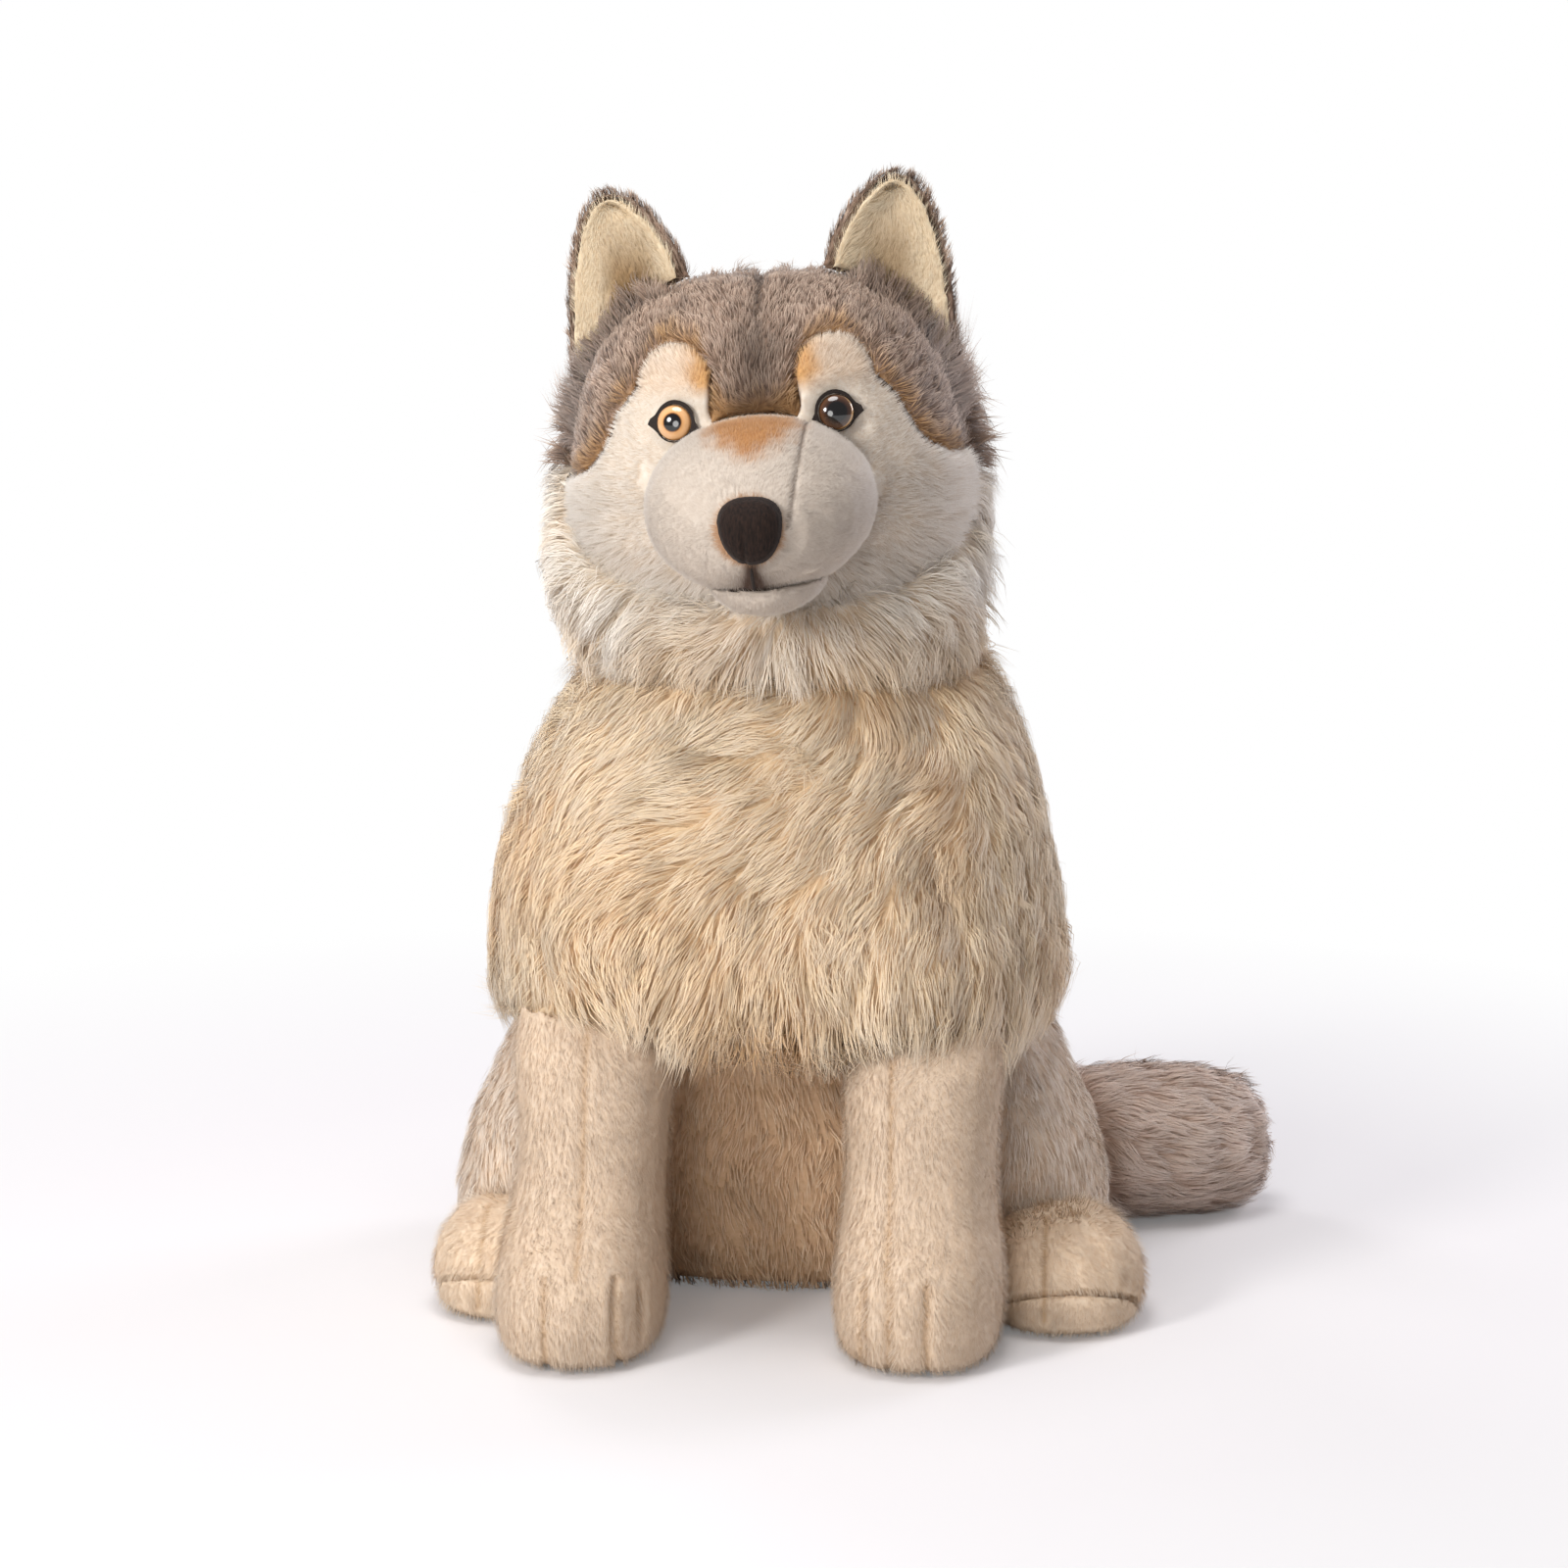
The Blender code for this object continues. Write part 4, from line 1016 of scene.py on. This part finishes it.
def eye_clearance(points: np.ndarray) -> np.ndarray:
    """Shortens the pile near the eyes, so that none hangs over them."""
    local = in_head(points)
    keep = np.ones(len(points))
    for x in (-EYE_X, EYE_X):
        off = np.hypot(local[:, 0] - x, local[:, 2] - EYE_Z)
        keep = np.minimum(keep, 0.25 + 0.75 * smooth(0.012, 0.026, off))
    return keep


def face_dye(points: np.ndarray) -> np.ndarray:
    """Orange over the bridge and on the inner edges of the brow patches."""
    local = in_head(points)
    x, z = local[:, 0] * 1000, local[:, 2] * 1000
    wobble = 2.0 * ripple(points, 0.010, 5)
    bridge = smooth(8, -8, np.abs(x) * 0.55 + (38 - z) * 0.95 - 22 + wobble) * smooth(10, 20, z)
    brow = (0.22 + 0.66 * smooth(39, 25, np.abs(x) + wobble)) * smooth(42, 52, z)
    return np.maximum(bridge * smooth(-0.09, -0.11, local[:, 1]), brow)


def muzzle_dye(points: np.ndarray) -> np.ndarray:
    """Orange over the bridge, and a tan halo round the nose."""
    local = in_head(points)
    off = np.hypot(local[:, 0] + 0.001, (local[:, 2] + 0.017)) * 1000
    return np.maximum(face_dye(points), 0.8 * smooth(18.8, 16.0, off))


def mouth_dye_and_crease_shade(points: np.ndarray) -> np.ndarray:
    """Dark dye down the lip line below the nose, and painted shade along the mouth's crease."""
    local = in_head(points) * 1000
    x, z = local[:, 0] + 1.0, local[:, 2]
    front = smooth(-115, -135, local[:, 1])
    above = smooth(-54, -51, z)
    line = 0.95 * np.exp(-((x / 4.0) ** 2)) * smooth(-31, -35, z) * above
    spread = 0.75 * np.exp(-((x / 13.0) ** 2)) * np.exp(-(((z + 46) / 9.0) ** 2)) * above
    # Painted shade in the mouth's crease
    crease = 0.70 * smooth(30, 12, np.abs(x)) * np.exp(-(((z + 50.5 - 0.004 * x**2) / 2.8) ** 2))
    return np.clip(line + spread + crease, 0, 0.95) * front


def lip_crease_shade(points: np.ndarray) -> np.ndarray:
    """Painted shade on the lower lip, just under the mouth's crease."""
    local = in_head(points) * 1000
    middle = smooth(30, 12, np.abs(local[:, 0])) * smooth(-115, -135, local[:, 1])
    return 0.4 * middle * smooth(-52.5, -47.5, local[:, 2])


def forehead_smudge(points: np.ndarray) -> np.ndarray:
    """The dark streak down the middle of the forehead."""
    local = in_head(points) * 1000
    middle = np.exp(-(((local[:, 0] - 1.0) / 13.0) ** 2)) * smooth(88, 60, local[:, 2])
    return 0.62 * middle * (local[:, 1] < -20)


def collar_dye(points: np.ndarray) -> np.ndarray:
    """Sandier pile low on the ruff, where it falls on the mane."""
    return np.clip(0.7 * smooth(0.400, 0.350, points[:, 2]) + 0.15 * ripple(points, 0.05, 31), 0, 1)


def collar_trim(points: np.ndarray) -> np.ndarray:
    """Longer pile along the ruff's lower edge, hanging over the mane."""
    return 1 + 0.75 * smooth(0.392, 0.352, points[:, 2])


def parting_and_hem_shade(points: np.ndarray) -> np.ndarray:
    """Painted shade in the valley where the mane's pile parts, and on the hem between the legs."""
    off = (points[:, 0] - parting_x(points[:, 2])) / 0.011
    valley = 0.35 * np.exp(-(off**2)) * smooth(0.225, 0.25, points[:, 2])
    hem = 0.80 * smooth(0.038, 0.020, np.abs(points[:, 0] - 0.002)) * smooth(0.200, 0.166, points[:, 2])
    return (valley + hem) * (points[:, 1] < -0.05)


def crown_dye(points: np.ndarray) -> np.ndarray:
    """Warmer brown along the cap's lower border, between and beside the brow patches."""
    local = in_head(points)
    x, z = np.abs(local[:, 0]) * 1000, local[:, 2] * 1000
    border = np.interp(x, [0, 14, 22, 26, 45, 60, 70, 80, 104], [34, 35, 50, 66, 73, 50, 40, 20, 0])
    return 0.85 * smooth(12, 0, z - border + 2 * ripple(points, 0.015, 9)) * (local[:, 1] < -0.02)


def ragged_trim(points: np.ndarray) -> np.ndarray:
    """Pile of uneven length, so that the edge of a dark panel doesn't show as a straight line."""
    return 1.15 + 0.5 * ripple(points, 0.014, 41)


def near_linings(points: np.ndarray) -> np.ndarray:
    """How far each place is from the nearer ear lining, in metres."""
    edge = [v.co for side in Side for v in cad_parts["ear_lining_" + side.tag].data.vertices]
    tree = KDTree(len(edge))
    for index, place in enumerate(edge):
        tree.insert(place, index)
    tree.balance()
    return np.array([tree.find(point)[2] for point in points])


def ear_foot(points: np.ndarray) -> np.ndarray:
    """Where the cap's pile stands up in a tuft, in front of the foot of each ear."""
    local = in_head(points)
    return smooth(0.026, 0.012, near_linings(points)) * smooth(0.044, 0.056, np.abs(local[:, 0]))


def ear_stand(points: np.ndarray) -> np.ndarray:
    """How much more upright the cap's pile is there."""
    return 1.9 * ear_foot(points)


def crown_trim(points: np.ndarray) -> np.ndarray:
    """Short over the eyes, and long at the foot of each ear and along the cap's back edge."""
    back = smooth(-0.02, 0.02, in_head(points)[:, 1])
    return eye_clearance(points) + 1.8 * ear_foot(points) + (1 + 0.5 * ripple(points, 0.014, 43)) * back


def face_trim(points: np.ndarray) -> np.ndarray:
    """Short round the eyes, and longer towards the cheeks' edge, where the ruff begins."""
    x, _, z = in_head(points).T
    edge = np.clip(smooth(0.060, 0.098, np.abs(x)) + smooth(-0.030, -0.055, z), 0, 1)
    bridge = smooth(0.032, 0.025, np.abs(x)) * smooth(0.022, 0.030, z) * smooth(0.056, 0.048, z)
    return eye_clearance(points) * (1 - 0.85 * bridge) * (1 + 1.5 * edge * smooth(0.02, -0.02, z))


# Middle of each tuft on the mane's hem, how far it reaches, and how much longer its pile is
HEM_TUFTS = (
    ((-0.032, -0.16, 0.172), 0.036, 1.0),
    ((0.034, -0.16, 0.176), 0.034, 0.7),
    ((0.085, -0.16, 0.19), 0.035, 0.4),
    ((0.001, -0.16, 0.172), 0.024, -0.75),
    ((0.126, -0.14, 0.182), 0.045, 0.7),
)


def mane_trim(points: np.ndarray) -> np.ndarray:
    """Long tufts over the inner side of each leg, and shorter pile at the outer shoulder seam."""
    keep = 1 + 0.30 * smooth(0.215, 0.180, points[:, 2])
    for middle, reach, extra in HEM_TUFTS:
        off = np.linalg.norm(points - np.array(middle), axis=1)
        keep += extra * smooth(reach, 0.3 * reach, off)
    shoulder = np.linalg.norm(points - np.array([-0.112, -0.13, 0.178]), axis=1)
    return keep * (1 - 0.35 * smooth(0.055, 0.030, shoulder))


def mane_dye(points: np.ndarray) -> np.ndarray:
    """Warmer patches low on the shoulders."""
    patch = 0.5 + 0.5 * ripple(points, 0.16, 21)
    low = smooth(0.33, 0.20, points[:, 2])
    return 0.55 * low * patch + 0.10 * patch


def ear_hollow_shade(points: np.ndarray) -> np.ndarray:
    """Painted shade in the dish in the middle of the ear's lining, darker on the wolf's right ear."""
    local = in_head(points)
    side = np.abs(np.abs(local[:, 0]) - 0.068) * 1000
    rise = (local[:, 2] - 0.078) * 1000
    strength = np.where(local[:, 0] < 0, 0.95, 0.70)
    return strength * smooth(21, 5, side) * smooth(52, 14, np.abs(rise - 8))


def tail_darker_low_and_tip(points: np.ndarray) -> np.ndarray:
    """Darker pile along the tail's underside and at its tip."""
    return 0.25 * smooth(0.045, 0.01, points[:, 2]) + 0.25 * smooth(0.250, 0.278, points[:, 0])


class Eye:
    """A lock-on eye: a domed lens with a printed iris, where the solid's dome is."""

    radius = 0.0093
    dome = 0.0058
    back = 0.0035

    def __init__(self, side: Side, finish: EyeFinish) -> None:
        """Finds the solid's axis.

        Args:
            side: which of the wolf's eyes it is.
            finish: the lens and its iris.
        """
        self.node = "eye_" + side.tag
        self.finish = finish
        points = np.array([v.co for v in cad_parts[self.node].data.vertices], float)
        points = np.unique(points.round(6), axis=0)
        middle = points.mean(axis=0)
        longest = np.linalg.svd(points - middle)[2][0]
        self.axis = longest if longest[1] < 0 else -longest
        self.apex = points[(points @ self.axis).argmax()]

    def build(self) -> int:
        """Makes the lens, with its iris map, and puts it in place of the solid.

        Returns:
            How many triangles were made.
        """
        bpy.ops.object.select_all(action="DESELECT")
        bpy.ops.mesh.primitive_uv_sphere_add(segments=48, ring_count=32, radius=1.0)
        lens = bpy.context.object
        lens.name = self.node + "_lens"
        points = Workshop.points_of(lens)
        points[:, 2] *= np.where(points[:, 2] >= 0, self.dome, self.back)
        points[:, :2] *= self.radius
        layer = lens.data.uv_layers[0]
        layer.name = "iris"
        flat = points[:, :2] / (2 * self.radius) + 0.5
        corners = np.empty(len(lens.data.loops), np.int32)
        lens.data.loops.foreach_get("vertex_index", corners)
        layer.uv.foreach_set("vector", flat[corners].astype(np.float32).ravel())
        turn = Vector(self.axis).to_track_quat("Z", "Y").to_matrix()
        base = self.apex - self.axis * self.dome
        Workshop.set_points(lens, points @ np.array(turn).T + base)
        lens.data.polygons.foreach_set("use_smooth", np.ones(len(lens.data.polygons), bool))
        lens.data.materials.append(self.finish.material())
        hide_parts(self.node)
        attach(lens, "root")
        log.info("%s: lens", self.node)
        return Workshop.triangles_of(lens)


class Nose:
    """The velour nose pad, with the seam down its lower half."""

    voxel = 0.0009
    rounds = 6
    seam_x = -0.0035
    seam_reach = 0.0009
    seam_depth = 0.0011
    finish = VelourFinish()

    def build(self) -> int:
        """Makes the pad from the solid and presses its middle seam in.

        Returns:
            How many triangles were made.
        """
        pad = Workshop.copy_of("nose", "_pad", self.voxel, self.rounds)
        points, normals = Workshop.points_of(pad), Workshop.normals_of(pad)
        local = in_head(points)
        aside = (local[:, 0] - self.seam_x) / self.seam_reach
        groove = np.exp(-(aside**2)) * smooth(-0.014, -0.022, local[:, 2])
        nap = 0.5 * ripple(points * np.array([1.0, 1.0, 0.3]), 0.0018, 3)
        shift = 0.0001 * nap - self.seam_depth * groove
        Workshop.set_points(pad, points + normals * shift[:, None])
        pad.data.materials.append(self.finish.material())
        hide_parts("nose")
        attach(pad, "root")
        log.info("nose: pad")
        return Workshop.triangles_of(pad)


class Trim:
    """Small solids that keep their own shape and get their real finish."""

    felt = FeltFinish()
    nylon = NylonFinish()

    def build(self) -> None:
        """Dresses the liners, the mouth stitch and the washers."""
        felt, nylon = self.felt.material(), self.nylon.material()
        for name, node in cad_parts.items():
            look = felt if name.startswith(("eye_liner", "mouth")) else None
            look = nylon if name.startswith("eye_washer") else look
            if look:
                node.data.materials.clear()
                node.data.materials.append(look)
                log.info("%s: %s", name, look.name)


FRONT_SEAM = {Side.LEFT: 0.0715, Side.RIGHT: -0.0865}
TOE_SEAMS = {Side.LEFT: (0.0578, 0.0726, 0.0924), Side.RIGHT: (-0.0652, -0.0524, -0.102)}
RIDGE_X = 0.1497


class Wolf:
    """The whole plush, panel by panel."""

    def panels(self) -> list[Panel]:
        """Every panel, with its pile, its groom and its seams."""
        nose = tuple(NOSE_TIP)
        face_flow = Groom(flow=(0.0, 0.35, -0.15), away_from=nose, swirl=0.12, swirl_size=0.05)
        chest_flow = Groom(flow=(-0.10, -0.12, -1.0), swirl=0.34, swirl_size=0.10, parting=0.95)
        muzzle_seam = Seam(
            tuple(HEAD @ Vector((0.0225, -0.16, 0.005))), tuple(HEAD_TURNED @ (1.0, 0.0, -0.18)),
            low=(-1, -1, 0.433), high=(1, -0.15, 0.482), depth=0.0012, reach=0.0012,
        )
        crown_seam = Seam(
            tuple(HEAD @ Vector((0.003, 0.0, 0.09))), tuple(HEAD_TURNED @ (1.0, 0.0, 0.0)),
            low=(-1, -0.16, 0.527), high=(1, -0.02, 1), depth=0.0030, reach=0.0026,
        )
        made = [
            Panel("chest_mane", "sand_pile", SAND, LONG, chest_flow,
                  mark=mane_dye, trim=mane_trim, dark_marks_and_shade=parting_and_hem_shade, rim_rounds=2),
            Panel("neck_ruff", "cream_pile", COLLAR, RUFF,
                  Groom((0.0, -0.1, -0.9), away_from=nose, swirl=0.30),
                  mark=collar_dye, trim=collar_trim, rim_rounds=2),
            Panel("nape_ruff", "brown_pile", BROWN, TUFT, Groom((0.0, 0.2, -0.9), away_from=nose, fan=1.2),
                  trim=ragged_trim, rim_rounds=2),
            Panel("back_saddle", "brown_pile", BROWN, replace(LONG, lift=0.45),
                  Groom((0.0, 0.1, -1.0), fan=0.9),
                  trim=ragged_trim, rim_rounds=2),
            Panel("body", "sand_pile", BELLY_SHADED, replace(SOFT, per_mm2=0.12, width=0.00058), Groom(swirl=0.2)),
            Panel("crown", "brown_pile", BROWN, CAP,
                  Groom((0.0, 0.4, 0.35), away_from=nose, swirl=0.15, fall=2.4),
                  mark=crown_dye, trim=crown_trim, seams=(crown_seam,),
                  dark_marks_and_shade=forehead_smudge, stand=ear_stand),
            Panel("head_face", "cream_pile", CREAM, FACE, face_flow,
                  mark=face_dye, trim=face_trim, voxel=0.0032, rim_rounds=9),
            Panel("muzzle", "pale_pile", PALE, VELOUR, face_flow,
                  mark=muzzle_dye, seams=(muzzle_seam,), dark_marks_and_shade=mouth_dye_and_crease_shade, voxel=0.0020),
            Panel("chin", "pale_pile", PALE, VELOUR, face_flow, dark_marks_and_shade=lip_crease_shade, voxel=0.0020),
            Panel("tail", "tail_pile", TAIL, BRUSH, Groom((1.0, 0.15, -0.1), swirl=0.22),
                  mark=tail_darker_low_and_tip, rim_rounds=2),
            Panel("tail_top", "brown_pile", BROWN, TUFT, Groom((1.0, 0.15, 0.1)), rim_rounds=1),
        ]
        for side in Side:
            made += self.side_panels(side)
        return [replace(panel, seed=11 + 17 * i) for i, panel in enumerate(made)]

    def side_panels(self, side: Side) -> list[Panel]:
        """The ear, legs and foot of one side, in the order in which they are made."""
        tag, sign = side.tag, side.value
        sewn = (
            Seam((FRONT_SEAM[side], 0, 0), (1, 0, 0), (-1, -1, 0.05), (1, -0.14, 1),
                 depth=0.0014, reach=0.0016),
            *(
                Seam((toe, 0, 0), (1, 0, 0), (-1, -1, -1), (1, -0.212, 0.052), depth=0.0024, reach=0.0018)
                for toe in TOE_SEAMS[side]
            ),
        )
        ridge = Seam((RIDGE_X * sign, 0, 0), (1, 0, 0), (-1, -1, 0.008), (1, -0.115, 1),
                     depth=0.0010, reach=0.0016)
        back = replace(CAP, length=0.0075, inset=0.0022, per_mm2=0.7)
        lining = replace(SHORT, inset=0.0008, per_mm2=1.3, lift=0.8)
        return [
            Panel("ear_back_" + tag, "brown_pile", BROWN, back, Groom((0.3 * sign, 0.0, 1.0), swirl=0.1),
                  voxel=0.0022),
            Panel("ear_lining_" + tag, "ear_pile", EAR, lining, Groom((0.1 * sign, -0.1, 1.0), swirl=0.1),
                  mark=ear_hollow_shade, voxel=0.0020, probe=0.0015, relax=20, facing=(0.0, -0.98, 0.18)),
            Panel("front_leg_" + tag, "sand_pile", SHEARED, SHORT, Groom((0.0, -0.25, -1.0), swirl=0.12),
                  seams=sewn, voxel=0.0030, relax=8),
            Panel("thigh_" + tag, "sand_pile", HAUNCH, SOFT, Groom((0.0, -0.3, -1.0))),
            Panel("hind_foot_" + tag, "sand_pile", PAW, replace(SHORT, length=0.0066),
                  Groom((0.3 * sign, -0.25, -1.0), swirl=0.2), seams=(ridge,), voxel=0.0028),
            Panel("hind_sole_" + tag, "cream_pile", PAW, SHORT, Groom((0.0, -0.3, -1.0), swirl=0.15),
                  seams=(ridge,), voxel=0.0028),
        ]

    def build(self) -> int:
        """Makes every piece.

        Returns:
            How many triangles were made in all.
        """
        shop = Workshop()
        total = sum(panel.build(shop) for panel in self.panels())
        total += Nose().build()
        total += Eye(Side.LEFT, EyeFinish("left_iris", DUSKY_RINGS, painted_glint=(0.085, -0.02))).build()
        total += Eye(Side.RIGHT, EyeFinish("right_iris", AMBER_RINGS)).build()
        Trim().build()
        return total


# Studio


def aim_at(thing: bpy.types.Object, place: Sequence[float], aim: Sequence[float]) -> None:
    """Stands a lamp or camera in its place, turned to what it faces."""
    bpy.context.scene.collection.objects.link(thing)
    thing.location = place
    thing.rotation_mode = "QUATERNION"
    thing.rotation_quaternion = (Vector(place) - Vector(aim)).to_track_quat("Z", "Y")


@dataclass
class Lamp:
    """A soft box: where it stands, its size, its power in watts, its colour and what it faces."""

    name: str
    place: tuple[float, float, float]
    size: float
    power: float
    colour: tuple[float, float, float] = (1.0, 1.0, 1.0)
    aim: tuple[float, float, float] = (0.0, -0.05, 0.28)

    def build(self) -> None:
        """Hangs the lamp."""
        data = bpy.data.lights.new(self.name, "AREA")
        data.shape = "DISK"
        data.size = self.size
        data.energy = self.power
        data.color = self.colour
        aim_at(bpy.data.objects.new(self.name, data), self.place, self.aim)


@dataclass
class Studio:
    """Pale floor, soft light and the camera where the photograph was taken from."""

    floor_half: float = 6.0
    lens: float = 88.0
    aim: tuple[float, float, float] = (0.0, 0.0, 0.268)
    off: float = 2.10
    turn: float = math.radians(5)
    height: float = 0.62
    lamps: tuple[Lamp, ...] = (
        Lamp("key_box", (-1.30, -1.70, 1.15), 0.55, 28.5, (1.0, 0.985, 0.965)),
        Lamp("front_box", (-0.35, -2.2, 0.60), 0.9, 10.5, (1.0, 0.99, 0.97)),
        Lamp("top_box", (-0.1, -0.35, 1.9), 1.0, 16.0),
        Lamp("rim_box", (-1.0, 1.5, 0.9), 0.9, 10.0, (0.98, 0.96, 1.0)),
        Lamp("rim_box_2", (1.4, 1.1, 0.85), 0.9, 13.0, (0.95, 0.93, 1.0)),
    )

    def floor_material(self) -> bpy.types.Material:
        """Seamless paper: near the toy it takes its shadow, further off it is plain white to the eye."""
        nodes = Nodes(bpy.data.materials.new("seamless_paper"))
        far = nodes.span(nodes.length(nodes.place()), 0.42, 0.95)
        rays = nodes.add("ShaderNodeLightPath").outputs
        shown = nodes.maths("MAXIMUM", rays["Is Camera Ray"], rays["Is Glossy Ray"])
        shown = nodes.maths("MAXIMUM", shown, rays["Is Transmission Ray"])
        paper = nodes.add("ShaderNodeBsdfDiffuse", Color=(*linear("#d9d6d6"), 1.0))
        dim = nodes.add("ShaderNodeBsdfDiffuse", Color=(0.74, 0.72, 0.73, 1.0))
        glow = nodes.add("ShaderNodeEmission", Color=(1.0, 1.0, 1.0, 1.0), Strength=0.14)
        white = nodes.add("ShaderNodeEmission", Color=(1.0, 1.0, 1.0, 1.0), Strength=1.0)
        close = nodes.add("ShaderNodeAddShader", i0=dim.outputs[0], i1=glow.outputs[0])
        seen = nodes.add("ShaderNodeMixShader", i0=far, i1=close.outputs[0], i2=white.outputs[0])
        both = nodes.add("ShaderNodeMixShader", i0=shown, i1=paper.outputs[0], i2=seen.outputs[0])
        return nodes.surface(both.outputs[0])

    def build(self) -> None:
        """Makes the floor, the world, the lamps and the camera."""
        bpy.ops.object.select_all(action="DESELECT")
        bpy.ops.mesh.primitive_plane_add(size=2 * self.floor_half)
        floor = bpy.context.object
        floor.name = "studio_floor"
        floor.data.materials.append(self.floor_material())
        bpy.context.scene.world = self.world()
        for lamp in self.lamps:
            lamp.build()
        data = bpy.data.cameras.new("camera")
        data.lens = self.lens
        data.sensor_width = 36.0
        camera = bpy.data.objects.new("camera", data)
        stand = (self.off * math.sin(self.turn), -self.off * math.cos(self.turn), self.height)
        aim_at(camera, stand, self.aim)
        bpy.context.scene.camera = camera
        bpy.context.scene.view_settings.view_transform = "Standard"

    def world(self) -> bpy.types.World:
        """Soft light from all round, and white behind everything."""
        nodes = Nodes(bpy.data.worlds.new("studio"))
        rays = nodes.add("ShaderNodeLightPath")
        soft = nodes.add("ShaderNodeBackground", Color=(0.96, 0.95, 1.0, 1.0), Strength=0.26)
        back = nodes.add("ShaderNodeBackground", Color=(1.0, 1.0, 1.0, 1.0), Strength=1.0)
        mix = nodes.add(
            "ShaderNodeMixShader", i0=rays.outputs["Is Camera Ray"], i1=soft.outputs[0], i2=back.outputs[0]
        )
        nodes.add("ShaderNodeOutputWorld", Surface=mix.outputs[0])
        return nodes.owner


def corners(box: tuple[Vector, Vector]) -> list[list[float]]:
    """A box's two corners as plain lists."""
    return [list(map(float, corner)) for corner in box]


def main() -> None:
    """Builds the wolf and its studio."""
    logging.basicConfig(level=logging.INFO, format="%(message)s", stream=sys.stdout)
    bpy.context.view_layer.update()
    bpy.ops.object.select_all(action="DESELECT")
    total = Wolf().build()
    log.info("all pieces: %d triangles", total)
    Studio().build()


if __name__ == "__main__":
    main()
